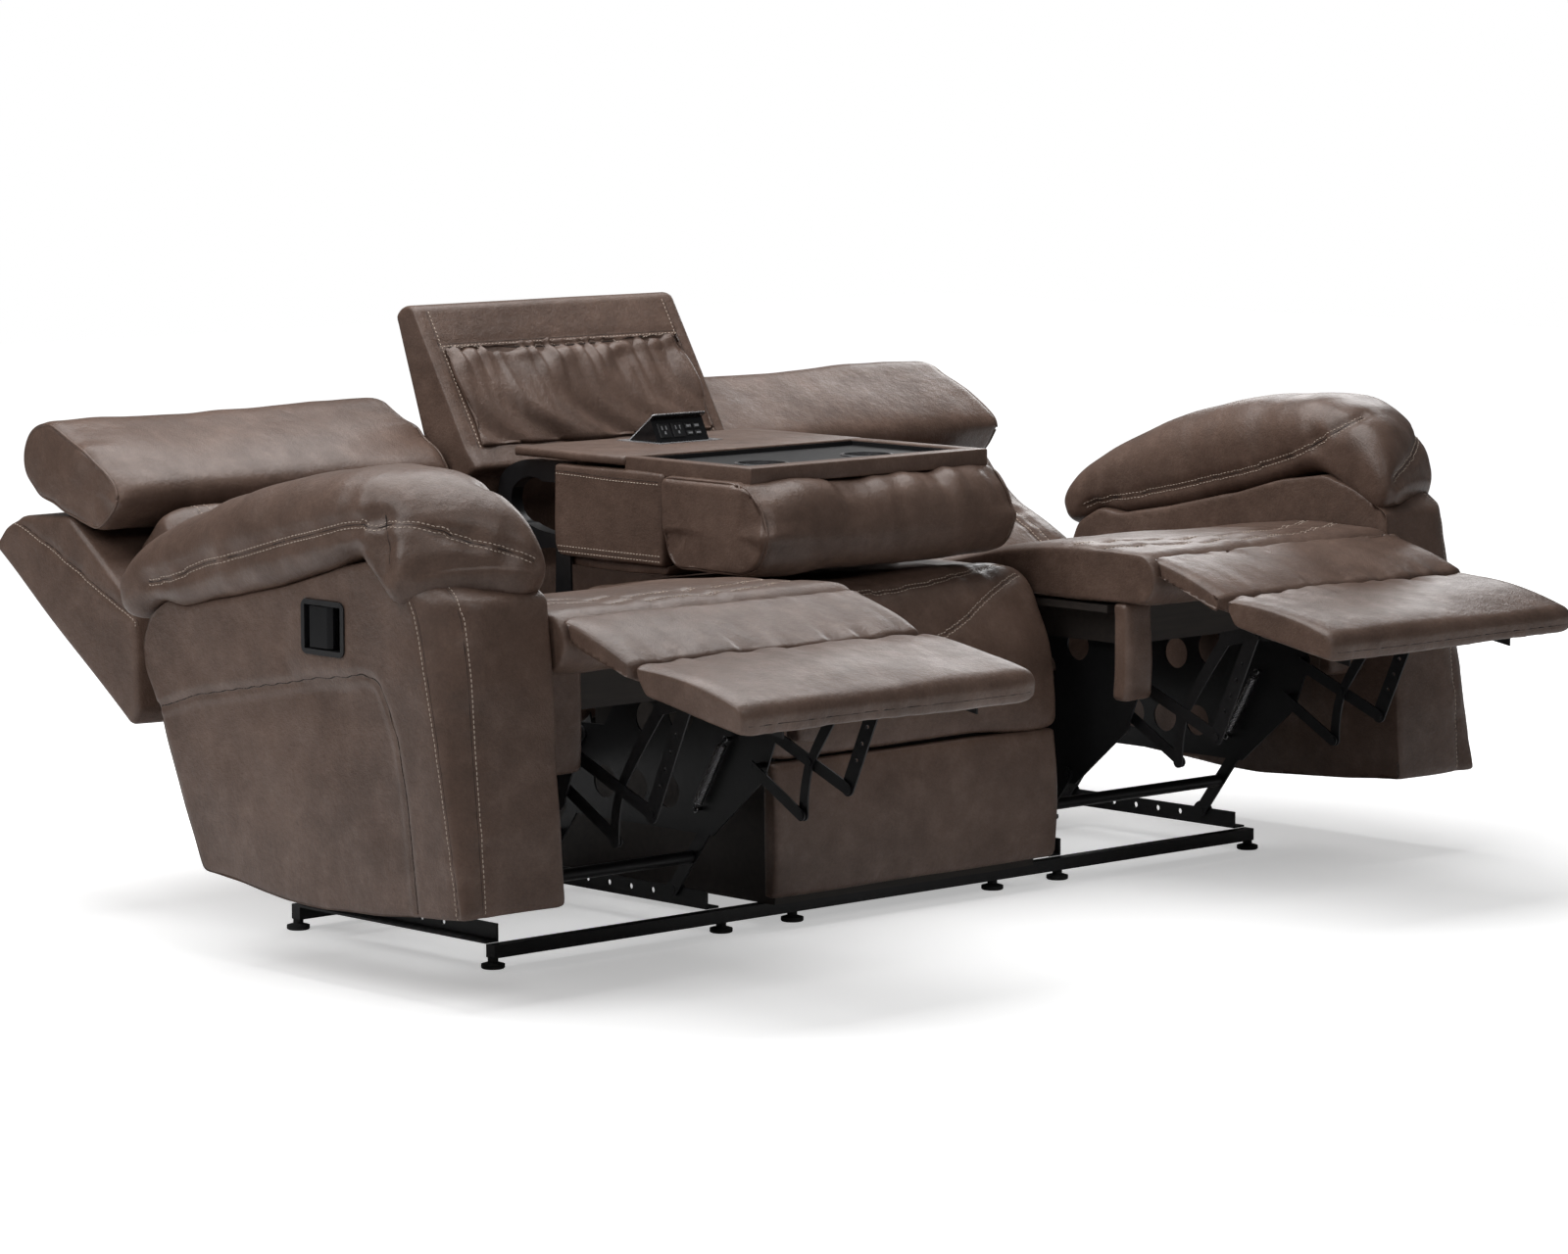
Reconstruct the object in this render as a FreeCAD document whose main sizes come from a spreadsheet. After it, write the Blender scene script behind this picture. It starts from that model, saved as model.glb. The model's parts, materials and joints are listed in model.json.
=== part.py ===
"""Three-seat sofa with two lay-back recliners and a drop-down console between them.

Work frame: X to the sitter's left as seen from the front, Y from the line of the front feet
towards the back, Z up from the floor. Every piece is then placed so that the model's origin
is on the floor under the middle of the sofa. The footrests are out, the backs are laid back
and the console is folded down. The right-hand recliner is drawn, and the left one mirrors it.
"""
import FreeCAD, Part
import Sketcher
import math
import os
import re

DOC = FreeCAD.newDocument("Sofa")
V = FreeCAD.Vector

# Driving dimensions in millimetres and degrees
SIZES = {
    "origin_depth": 214.5,
    "unit_middle": 600,
    "unit_inner": 325,
    "unit_outer": 905,
    "plate_offset": 200,
    "plate_gauge": 3,
    "link_gauge": 3,
    "spring_offset": 189,
    "spring_radius": 7,
    "spring_pin_radius": 3,
    "ottoman_link_offset": 194.4,
    "lift_link_offset": 190.8,
    "cross_link_offset": 187.2,
    "stay_link_offset": 181,
    "rivet_head": 1.6,
    "rivet_head_radius": 7,
    "swing_length": 140,
    "swing_lean": 37.05,
    "swing_width": 22,
    "swing_gauge": 4,
    "swing_offset": 204,
    "swing_front": 85,
    "swing_rear": 400,
    "swing_height": 60,
    "swing_pin_radius": 6,
    "pin_play": 0.05,
    "open_pivot_play": 0.6,
    "torque_tube_radius": 10,
    "rail_half_length": 835,
    "rail_section": 20,
    "rail_rear": 473,
    "foot_height": 16,
    "foot_radius": 18,
    "side_rail_offset": 209,
    "side_rail_gauge": 4,
    "side_rail_flange": 22,
    "side_rail_hole_pitch": 52,
    "recline_hinge_depth": 300,
    "recline_hinge_height": 280,
    "recline_pin_radius": 8,
    "back_lean": 35.4,
    "back_edge_depth": 710,
    "back_edge_height": 306,
    "back_inner": 297,
    "back_outer": 972,
    "footrest_hinge_depth": -219,
    "footrest_hinge_height": 515,
    "nose_radius": 46.5,
    "chaise_hollow_radius": 50,
    "board_gauge": 22,
    "deck_bottom": 455,
    "deck_gauge": 12,
    "deck_rear": 228,
    "seat_rail_bottom": 400,
    "seat_rail_front": -150,
    "arm_inner": 913,
    "arm_outer": 1107,
    "arm_pad_outer": 1130,
    "bezel_front": 1,
    "bezel_length": 90,
    "bezel_bottom": 495,
    "bezel_height": 71,
    "bezel_depth": 35,
    "bezel_wall": 3,
    "handle_axis_depth": 80,
    "handle_axis_offset": 1096,
    "centre_half_width": 311,
    "centre_frame_half_width": 285,
    "shell_half_width": 287,
    "console_half_width": 257,
    "roll_half_width": 280,
    "console_top": 710,
    "console_board": 20,
    "console_front": 54,
    "console_rear": 616,
    "console_hinge_depth": 498,
    "console_hinge_height": 560,
    "console_pin_radius": 8,
    "tray_half_width": 235,
    "tray_front": 85,
    "tray_rear": 345,
    "tray_drop": 9,
    "cup_offset": 116,
    "cup_depth_line": 183,
    "cup_radius": 40,
    "cup_rim_radius": 44,
    "cup_wall": 2,
    "cup_bottom": 628,
    "outlet_half_width": 62,
    "outlet_front": 485,
    "outlet_rear": 583,
    "outlet_bottom": 645,
    "outlet_wall": 4,
    "flap_hinge_depth": 575,
    "flap_hinge_height": 706,
    "flap_length": 83,
    "flap_lean": 36.7,
}

# Pivots of the footrest scissor linkage, in the plane of the side plates, footrest out
LIFT_PIVOT = (-147.8, 334.2)
LIFT_END = (-321.8, 263.5)
CROSSING = (-243.48, 295.34)
STAY_PIVOT = (-121.8, 276.3)
STAY_END = (-232.1, 213.6)
SPRING_TOP = (-55, 311)
SPRING_FOOT = (14, 195)
BRACKET_FRONT = (-401.5, 439.0)
BRACKET_REAR = (-336.4, 421.8)

SHEET = DOC.addObject("Spreadsheet::Sheet", "Sizes")
for line, (alias, value) in enumerate(SIZES.items(), 1):
    SHEET.set("A%d" % line, alias.replace("_", " "))
    SHEET.set("B%d" % line, str(value))
    SHEET.setAlias("B%d" % line, alias)
DOC.recompute()

KEPT = []


def size(rule):
    """The value of a rule written in the sheet's names, such as "console_top - 10"."""
    if not isinstance(rule, str):
        return float(rule)
    found = SHEET.evalExpression(rule)
    return float(getattr(found, "Value", found))


def bind(item, prop, rule):
    """Tie a property to the sheet, or set it where the rule is a plain number."""
    if isinstance(rule, str):
        item.setExpression(prop, re.sub(r"\b([a-z]+_\w+)\b", r"Sizes.\1", rule))
    else:
        setattr(item, prop, rule)


def keep(item, label):
    """Mark an object as a sub-part: its label names its file."""
    item.Label = label
    KEPT.append(item)
    return item


def seat_in_frame(item, across=0, turn=0, depth=0, height=0):
    """Place a piece drawn in the work frame, turned about X where it is drawn along the back."""
    depth_rule = "%s - origin_depth" % depth
    item.Placement = FreeCAD.Placement(
        V(size(across), size(depth_rule), size(height)),
        FreeCAD.Rotation(V(1, 0, 0), size(turn)),
    )
    for axis, rule in (("x", across), ("y", depth_rule), ("z", height)):
        if isinstance(rule, str):
            item.setExpression("Placement.Base." + axis, re.sub(r"\b([a-z]+_\w+)\b", r"Sizes.\1", rule))
    return item


def new_sketch(body, role, offset=0):
    """A sketch on one of the body's own origin planes, moved along that plane's normal."""
    sketch = body.newObject("Sketcher::SketchObject", body.Name + "_sketch")
    plane = next(item for item in body.Origin.OriginFeatures if item.Role == role)
    sketch.AttachmentSupport = (plane, "")
    sketch.MapMode = "FlatFace"
    sketch.AttachmentOffset = FreeCAD.Placement(V(0, 0, size(offset)), FreeCAD.Rotation())
    if isinstance(offset, str):
        rule = re.sub(r"\b([a-z]+_\w+)\b", r"Sizes.\1", offset)
        sketch.setExpression("AttachmentOffset.Base.z", rule)
    return sketch


def hold_point(sketch, geometry, end, rules):
    """Hold a point at its distances from the sketch's origin, tied to the sheet where named."""
    for kind, rule in zip(("DistanceX", "DistanceY"), rules):
        index = sketch.addConstraint(Sketcher.Constraint(kind, -1, 1, geometry, end, size(rule)))
        if isinstance(rule, str):
            name = "Constraints[%d]" % index
            sketch.setExpression(name, re.sub(r"\b([a-z]+_\w+)\b", r"Sizes.\1", rule))


def draw_outline(sketch, outline):
    """Close an outline of straight runs and arcs. A point is (across, up), and ("via", across, up)
    is the point that the arc between its neighbours passes through."""
    corners = [item for item in outline if item[0] != "via"]
    vias = {}
    count = -1
    for item in outline:
        if item[0] == "via":
            vias[count] = item[1:]
        else:
            count += 1
    places = [V(size(a), size(b), 0) for a, b in corners]
    ends = []
    for i, start in enumerate(places):
        stop = places[(i + 1) % len(places)]
        if i in vias:
            middle = V(size(vias[i][0]), size(vias[i][1]), 0)
            number = sketch.addGeometry(Part.Arc(start, middle, stop), False)
        else:
            number = sketch.addGeometry(Part.LineSegment(start, stop), False)
        forward = sketch.getPoint(number, 1).distanceToPoint(start) < 1e-4
        ends.append((number, 1, 2) if forward else (number, 2, 1))
    for i, (number, first, last) in enumerate(ends):
        after = ends[(i + 1) % len(ends)]
        sketch.addConstraint(Sketcher.Constraint("Coincident", number, last, after[0], after[1]))
        hold_point(sketch, number, first, corners[i])
    return sketch


def draw_circles(sketch, circles):
    """Circles as (across, up, radius)."""
    for across, up, radius in circles:
        circle = Part.Circle(V(size(across), size(up), 0), V(0, 0, 1), size(radius))
        number = sketch.addGeometry(circle, False)
        index = sketch.addConstraint(Sketcher.Constraint("Radius", number, size(radius)))
        if isinstance(radius, str):
            rule = re.sub(r"\b([a-z]+_\w+)\b", r"Sizes.\1", radius)
            sketch.setExpression("Constraints[%d]" % index, rule)
        hold_point(sketch, number, 3, (across, up))
    return sketch


def pad(body, sketch, length):
    feature = body.newObject("PartDesign::Pad", body.Name + "_pad")
    feature.Profile = sketch
    bind(feature, "Length", length)
    sketch.Visibility = False
    body.Tip = feature
    return feature


def pocket(body, sketch, length, along_normal=True):
    """Cut a sketch's outline out of the body, along its plane's normal."""
    feature = body.newObject("PartDesign::Pocket", body.Name + "_pocket")
    feature.Profile = sketch
    bind(feature, "Length", length)
    feature.Reversed = along_normal
    sketch.Visibility = False
    body.Tip = feature
    return feature


def side_plate(name, start, thickness, outline, holes=(), posts=()):
    """A plate cut to an outline in the side view, from X = start, with drilled holes and with
    posts given as (across, up, radius, first X, last X)."""
    body = DOC.addObject("PartDesign::Body", name)
    pad(body, draw_outline(new_sketch(body, "YZ_Plane", start), outline), thickness)
    for across, up, radius, first, last in posts:
        sketch = draw_circles(new_sketch(body, "YZ_Plane", first), [(across, up, radius)])
        pad(body, sketch, size(last) - size(first))
    if holes:
        before_cut = "%s - 1" % start
        sketch = draw_circles(new_sketch(body, "YZ_Plane", before_cut), holes)
        pocket(body, sketch, size(thickness) + 2)
    return body


def mirrored(name, source, plane_at=0):
    """The same piece on the other side of a plane square to X."""
    copy = DOC.addObject("Part::Mirroring", name)
    copy.Source = source
    copy.Base = V(size(plane_at), 0, 0)
    copy.Normal = V(1, 0, 0)
    return copy


def pair_in_unit(name, source):
    """The outer and the inner plate of one recliner unit, as one group."""
    group = DOC.addObject("Part::Compound", name)
    group.Links = [source, mirrored(name + "_inner", source, "unit_middle")]
    return group


def keep_both_sides(item, label):
    """Keep a right-hand piece and its left-hand mirror."""
    keep(item, "right_" + label)
    keep(mirrored("left_" + label, item), "left_" + label)


def strap(first, last, half_width):
    """Outline of a flat bar with round ends about two pivots."""
    run = V(last[0] - first[0], last[1] - first[1], 0)
    run.normalize()
    side = V(-run.y, run.x, 0)
    outline = []
    for centre, forward in ((first, -1), (last, 1)):
        middle = V(centre[0], centre[1], 0)
        start = middle - side * half_width * forward
        stop = middle + side * half_width * forward
        tip = middle + run * half_width * forward
        outline += [(start.x, start.y), ("via", tip.x, tip.y), (stop.x, stop.y)]
    return outline


def outline_wire(outline, x):
    """A closed wire in the side plane at X = x."""
    corners = [item for item in outline if item[0] != "via"]
    vias = {}
    count = -1
    for item in outline:
        if item[0] == "via":
            vias[count] = item[1:]
        else:
            count += 1
    edges = []
    for i, (across, up) in enumerate(corners):
        start = V(x, across, up)
        stop = V(x, *corners[(i + 1) % len(corners)])
        if i in vias:
            edges.append(Part.Arc(start, V(x, *vias[i]), stop).toShape())
        else:
            edges.append(Part.LineSegment(start, stop).toShape())
    return Part.Wire(edges)


def drawn_in(outline, spine, amount):
    """The outline with each point moved by an amount towards the nearest point of its spine."""
    def on_run(point, first, last):
        run = V(*last, 0) - V(*first, 0)
        share = (point - V(*first, 0)).dot(run) / run.dot(run)
        return V(*first, 0) + run * min(1, max(0, share))

    moved = []
    for item in outline:
        point = V(*item[-2:], 0)
        places = [on_run(point, first, last) for first, last in zip(spine, spine[1:])]
        away = min((point - place for place in places), key=lambda gap: gap.Length)
        nearest = point - away
        point = nearest + away * max(0, 1 - amount / away.Length)
        moved.append(("via", point.x, point.y) if item[0] == "via" else (point.x, point.y))
    return moved


def pillow_shape(outline, spine, stations):
    """A padded form: its outline lofted through stations (x, how far it is drawn in there)."""
    wires = [outline_wire(drawn_in(outline, spine, amount), size(x)) for x, amount in stations]
    return Part.makeLoft(wires, True, True)


def soft_piece(name, shape):
    item = DOC.addObject("Part::Feature", name)
    item.Shape = shape
    return item


def crowned(first, last, edge=14, shoulder=4, reach=(16, 48)):
    """Stations of a cushion that swells from its two drawn-in sides."""
    near, far = reach
    return [
        (size(first), edge),
        (size(first) + near, shoulder),
        (size(first) + far, 0),
        (size(last) - far, 0),
        (size(last) - near, shoulder),
        (size(last), edge),
    ]


def swing_top(base_depth):
    """Where the upper pivot of a swing link stands over its base pivot, link leaning forward."""
    lean = math.radians(size("swing_lean"))
    reach = size("swing_length")
    return (size(base_depth) - reach * math.sin(lean), size("swing_height") + reach * math.cos(lean))


def base():
    """Square cross tubes on round feet, and four angle rails that carry the swing pivots."""
    tubes = []
    for name, depth in (("front_tube", "0 - rail_section / 2"), ("rear_tube", "rail_rear - rail_section / 2")):
        tube = DOC.addObject("Part::Box", name)
        bind(tube, "Length", "2 * rail_half_length")
        bind(tube, "Width", "rail_section")
        bind(tube, "Height", "rail_section")
        tube.Placement.Base = V(-size("rail_half_length"), size(depth), size("foot_height"))
        tubes.append(tube)
    rails = DOC.addObject("Part::Compound", "base_cross_rails")
    rails.Links = tubes
    keep(seat_in_frame(rails), "base_cross_rails")

    front, rear = size("swing_front"), size("swing_rear")
    height = size("swing_height")
    rail_outline = [(12, 36), (483, 36), (483, 64)]
    for pivot in (rear, front):
        rail_outline += [(pivot + 20, 64), ("via", pivot, height + 16), (pivot - 20, 64)]
    rail_outline += [(12, 64)]
    pins = [(depth, "swing_height", "swing_pin_radius", "unit_middle + plate_offset + 3.5",
             "unit_middle + side_rail_offset") for depth in ("swing_front", "swing_rear")]
    rail = side_plate("side_rail", "unit_middle + side_rail_offset", "side_rail_gauge",
                      rail_outline, posts=pins)
    start = "unit_middle + side_rail_offset + side_rail_gauge"
    foot_flange = draw_outline(new_sketch(rail, "YZ_Plane", start), [(12, 36), (483, 36), (483, 39.5), (12, 39.5)])
    pad(rail, foot_flange, "side_rail_flange")
    slot = draw_circles(new_sketch(rail, "YZ_Plane", "unit_middle + side_rail_offset - 1"), [(138, 52, 5)])
    cut = pocket(rail, slot, size("side_rail_gauge") + 2)
    row = rail.newObject("PartDesign::LinearPattern", "side_rail_holes")
    row.Originals = [cut]
    row.Direction = (slot, ["H_Axis"])
    row.Length = 4 * size("side_rail_hole_pitch")
    row.Occurrences = 5
    rail.Tip = row
    unit_rails = pair_in_unit("unit_rails", rail)
    side_rails = DOC.addObject("Part::Compound", "base_side_rails")
    side_rails.Links = [unit_rails, mirrored("left_rails", unit_rails)]
    keep(seat_in_frame(side_rails), "base_side_rails")

    foot = DOC.addObject("PartDesign::Body", "foot")
    half = [(0, 0), (16, 0), ("via", 18, 2), (18, 4), (18, 7), (8, 10), (8, 16), (0, 16)]
    turned = foot.newObject("PartDesign::Revolution", "foot_turned")
    turned.Profile = draw_outline(new_sketch(foot, "XZ_Plane"), half)
    turned.ReferenceAxis = (turned.Profile[0], ["V_Axis"])
    turned.Angle = 360
    foot.Tip = turned
    DOC.recompute()
    places = [(x, 0) for x in (-830, -371, -221, 221, 371, 830)]
    places += [(x, size("rail_rear")) for x in (-830, -371, 371, 830)]
    feet = soft_piece("base_feet", Part.makeCompound([foot.Shape.translated(V(x, y, 0)) for x, y in places]))
    keep(seat_in_frame(feet), "base_feet")


def swing_frame(label, base_depth):
    """Two swing links welded to a round torque tube. The four pivots of a unit's two frames are
    the corners of a parallelogram, so the seat moves without tipping."""
    low = (size(base_depth), size("swing_height"))
    high = swing_top(base_depth)
    start = "unit_middle + swing_offset"
    play = "pin_play" if base_depth == "swing_rear" else "open_pivot_play"
    link = side_plate(label + "_link", start, "swing_gauge", strap(low, high, size("swing_width") / 2),
                      [(low[0], low[1], "swing_pin_radius + pin_play"),
                       (high[0], high[1], "swing_pin_radius + " + play)])
    tube = DOC.addObject("Part::Cylinder", label + "_tube")
    bind(tube, "Radius", "torque_tube_radius")
    bind(tube, "Height", "2 * swing_offset")
    tube.Placement = FreeCAD.Placement(
        V(size("unit_middle - swing_offset"), (low[0] + high[0]) / 2, (low[1] + high[1]) / 2),
        FreeCAD.Rotation(V(0, 1, 0), 90),
    )
    frame = DOC.addObject("Part::MultiFuse", label)
    frame.Shapes = [link, mirrored(label + "_inner", link, "unit_middle"), tube]
    keep_both_sides(seat_in_frame(frame), label)


def side_plates():
    """Stamped triangular side plates with the pins that the links, the swings and the back turn on."""
    rear_top = swing_top("swing_rear")
    front_top = swing_top("swing_front")
    outline = [
        (-14, 156), (330, 156), ("via", 336, 172), (334, 190), (323, 282), ("via", 316, 297), (298, 302),
        (240, 304), (190, 380), (190, 450), (-122, 450), (-122, 372), (-156, 352),
        ("via", -163, 334), (-158, 320), (-136, 268), ("via", -134, 258), (-128, 252),
    ]
    start = "unit_middle + plate_offset"
    outside = "unit_middle + plate_offset + plate_gauge"
    pins = [
        LIFT_PIVOT + (5, "unit_middle + lift_link_offset - 0.2", start),
        LIFT_PIVOT + (9, "unit_middle + lift_link_offset + 3.3", start),
        STAY_PIVOT + (4.5, "unit_middle + stay_link_offset - 0.3", start),
        rear_top + ("swing_pin_radius", outside, "unit_middle + swing_offset + swing_gauge + 0.4"),
        front_top + ("swing_pin_radius", outside, "unit_middle + swing_offset + swing_gauge + 0.4"),
        ("recline_hinge_depth", "recline_hinge_height", "recline_pin_radius",
         "unit_middle + plate_offset - 4.8", start),
        SPRING_TOP + ("spring_pin_radius", "unit_middle + spring_offset - 3", start),
        SPRING_FOOT + ("spring_pin_radius", "unit_middle + spring_offset - 3", start),
    ]
    openings = [(90, 214, 26), (165, 214, 26), (240, 214, 26), (-20, 385, 24), (60, 340, 30), (140, 325, 26)]
    plate = side_plate("side_plate", start, "plate_gauge", outline, openings, pins)
    keep_both_sides(seat_in_frame(pair_in_unit("side_plates", plate)), "side_plates")


def springs():
    """The pull springs inside the side plates, as plain closed coils between two hooks."""
    start = "unit_middle + spring_offset - 1.5"
    hooks = side_plate("spring_hooks", start, 3, strap(SPRING_TOP, SPRING_FOOT, 6),
                       [SPRING_TOP + ("spring_pin_radius + 0.1",), SPRING_FOOT + ("spring_pin_radius + 0.1",)])
    run = V(0, SPRING_FOOT[0] - SPRING_TOP[0], SPRING_FOOT[1] - SPRING_TOP[1])
    coil = DOC.addObject("Part::Cylinder", "spring_coil")
    bind(coil, "Radius", "spring_radius")
    coil.Height = run.Length - 28
    middle = V(size("unit_middle + spring_offset"), SPRING_TOP[0], SPRING_TOP[1])
    coil.Placement = FreeCAD.Placement(middle + run * (14 / run.Length), FreeCAD.Rotation(V(0, 0, 1), run))
    spring = DOC.addObject("Part::MultiFuse", "spring")
    spring.Shapes = [hooks, coil]
    keep_both_sides(seat_in_frame(pair_in_unit("springs", spring)), "recliner_springs")


def footrest_links():
    """The scissor linkage that carries the ottoman: a lift link and a stay link on the side plate, a
    curved link that crosses the lift link, and a wide drilled link out to the ottoman bracket."""
    def layer(offset, name, outline, holes=(), posts=()):
        link = side_plate(name, "unit_middle + " + offset, "link_gauge", outline, holes, posts)
        keep_both_sides(seat_in_frame(pair_in_unit(name + "s", link)), name + "s")

    head = "rivet_head_radius"
    lift = "unit_middle + lift_link_offset"
    layer("lift_link_offset", "lift_link", strap(LIFT_PIVOT, LIFT_END, 9.5),
          [LIFT_PIVOT + ("5 + pin_play",)],
          [LIFT_END + (4.5, lift + " + 3", lift + " + 6.9"),
           LIFT_END + (head, lift + " + 6.9", lift + " + 8.4"),
           CROSSING + (4.5, lift + " - 3.9", lift),
           CROSSING + (head, lift + " - 5.4", lift + " - 3.9")])

    stay = "unit_middle + stay_link_offset"
    layer("stay_link_offset", "stay_link", strap(STAY_PIVOT, STAY_END, 9),
          [STAY_PIVOT + ("4.5 + pin_play",)],
          [STAY_END + (head, stay + " + 3", stay + " + 5.9"),
           STAY_END + (head, stay + " - rivet_head", stay)])

    cross = "unit_middle + cross_link_offset"
    bent = [
        (-241.6, 213.5), ("via", -232.0, 204.0), (-222.6, 213.7), ("via", -226.5, 254.0), (-235.6, 291.0),
        ("via", -271.5, 351.0), (-329.0, 429.2), ("via", -343.5, 430.2), (-343.8, 415.2),
        ("via", -289.5, 344.0), (-254.0, 293.0), ("via", -244.0, 253.0),
    ]
    layer("cross_link_offset", "cross_link", bent, [CROSSING + ("4.5 + pin_play",)],
          [BRACKET_REAR + (head, cross + " - rivet_head", cross)])

    wide = "unit_middle + ottoman_link_offset"
    lean = math.atan2(BRACKET_FRONT[1] - LIFT_END[1], BRACKET_FRONT[0] - LIFT_END[0])
    reach = math.dist(LIFT_END, BRACKET_FRONT)
    holes = [LIFT_END + ("4.5 + pin_play",)]
    for share in (0.25, 0.4, 0.55, 0.7):
        holes.append((LIFT_END[0] + share * reach * math.cos(lean),
                      LIFT_END[1] + share * reach * math.sin(lean), 3))
    layer("ottoman_link_offset", "ottoman_link", strap(LIFT_END, BRACKET_FRONT, 13), holes,
          [BRACKET_FRONT + (head, wide + " + 3", wide + " + 4.6")])


def ottoman():
    """The padded ottoman on its thin board, and the angle brackets that the links hold it by."""
    outline = [
        (-407.5, 498.8), ("via", -520, 485.5), (-628, 459.5), ("via", -638.5, 450), (-633, 437.5),
        (-632, 434.5), (-412, 473.2),
    ]
    spine = ((-612, 446), (-424, 480))
    pad_shape = pillow_shape(outline, spine, crowned("unit_inner", "unit_outer", 8, 2))
    keep_both_sides(seat_in_frame(soft_piece("ottoman_pad", pad_shape)), "ottoman_pad")

    board = side_plate("ottoman_board", "unit_inner + 20", "unit_outer - unit_inner - 40",
                       [(-428, 470), (-632, 434.1), (-630, 416.5), (-428, 452)])
    keep_both_sides(seat_in_frame(board), "ottoman_board")

    start = "unit_middle + lift_link_offset"
    flange = [
        (-600, 421.5), (-446, 448.5), (-408, 450), (-336, 434), ("via", -324, 425), (-335, 410),
        (-398, 425), (-446, 427), (-600, 402),
    ]
    bracket = side_plate("ottoman_bracket", start, "link_gauge", flange, [(-520, 424, 4), (-470, 436, 4)])
    foot = draw_outline(new_sketch(bracket, "YZ_Plane", start + " - 20"),
                        [(-600, 421.5), (-446, 448.5), (-446, 445.5), (-600, 418.5)])
    pad(bracket, foot, 20)
    keep_both_sides(seat_in_frame(pair_in_unit("ottoman_brackets", bracket)), "ottoman_brackets")


def around_nose(angle, radius):
    """A point at an angle and radius about the footrest's hinge at the seat's nose."""
    turn = math.radians(angle)
    return (size("footrest_hinge_depth") + radius * math.cos(turn),
            size("footrest_hinge_height") + radius * math.sin(turn))


def chaise():
    """The padded bridge between seat and ottoman. Its rear end is hollow and turns round the nose."""
    hollow = size("chaise_hollow_radius")
    outline = [
        around_nose(212, hollow), ("via",) + around_nose(171, hollow), around_nose(130, hollow),
        ("via", -330, 530), (-402.5, 500.2), (-397, 455.5), ("via", -330, 466),
    ]
    spine = ((-384, 479), (-278, 512))
    shape = pillow_shape(outline, spine, crowned("unit_inner", "unit_outer", 8, 2))
    keep_both_sides(seat_in_frame(soft_piece("chaise_pad", shape)), "chaise_pad")


def seat():
    """Seat frame of boards with its deck, and the seat cushion with its round nose and front returns."""
    frame = DOC.addObject("PartDesign::Body", "seat_frame")
    inner, outer = "unit_middle - plate_offset - plate_gauge - 0.5 - board_gauge", "arm_inner"
    ring = [(inner, "seat_rail_front"), (outer, "seat_rail_front"), (outer, "deck_rear"), (inner, "deck_rear")]
    pad(frame, draw_outline(new_sketch(frame, "XY_Plane", "seat_rail_bottom"), ring),
        "deck_bottom - seat_rail_bottom")
    front, rear = "seat_rail_front + board_gauge", "deck_rear - board_gauge"
    middle = "unit_middle + plate_offset + plate_gauge + 0.5"
    for low, high in ((inner + " + board_gauge", middle), (middle + " + board_gauge", outer + " - board_gauge")):
        hole = [(low, front), (high, front), (high, rear), (low, rear)]
        pocket(frame, draw_outline(new_sketch(frame, "XY_Plane", "seat_rail_bottom"), hole),
               "deck_bottom - seat_rail_bottom")
    deck = [("unit_inner + 5", "seat_rail_front"), (outer, "seat_rail_front"),
            (outer, "deck_rear"), ("unit_inner + 5", "deck_rear")]
    pad(frame, draw_outline(new_sketch(frame, "XY_Plane", "deck_bottom"), deck), "deck_gauge")
    keep_both_sides(seat_in_frame(frame), "seat_frame")

    nose = size("nose_radius")
    outline = [
        around_nose(90, nose), ("via",) + around_nose(135, nose), around_nose(180, nose),
        ("via",) + around_nose(225, nose), around_nose(270, nose), (252, 468.5), (252, 496),
        ("via", 246, 509), (230, 513), ("via", 10, 552),
    ]
    cushion = pillow_shape(outline, ((-219, 515), (222, 489)), crowned("unit_inner", "unit_outer", 9, 3))
    for low, high in ((size("unit_inner") + 3, 388), (820, size("unit_outer") - 3)):
        wing = Part.makeBox(high - low, 28, 163, V(low, -193, 312))
        upright = [edge for edge in wing.Edges if abs(edge.tangentAt(edge.FirstParameter).z) > 0.9]
        cushion = cushion.fuse(wing.makeFillet(8, upright))
    keep_both_sides(seat_in_frame(soft_piece("seat_cushion", cushion.removeSplitter())), "seat_cushion")


ARM_TOP = [(430, 545), (379, 538), (264, 558), (113, 593), (3, 624), (-87, 639), (-160, 618), (-232, 584)]
ARM_BOTTOM = [(-60, 119), (58, 113), (151, 116), (355, 135)]
ARM_REAR = [(461, 383), (494, 428), (503, 468), (482, 517)]


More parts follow.
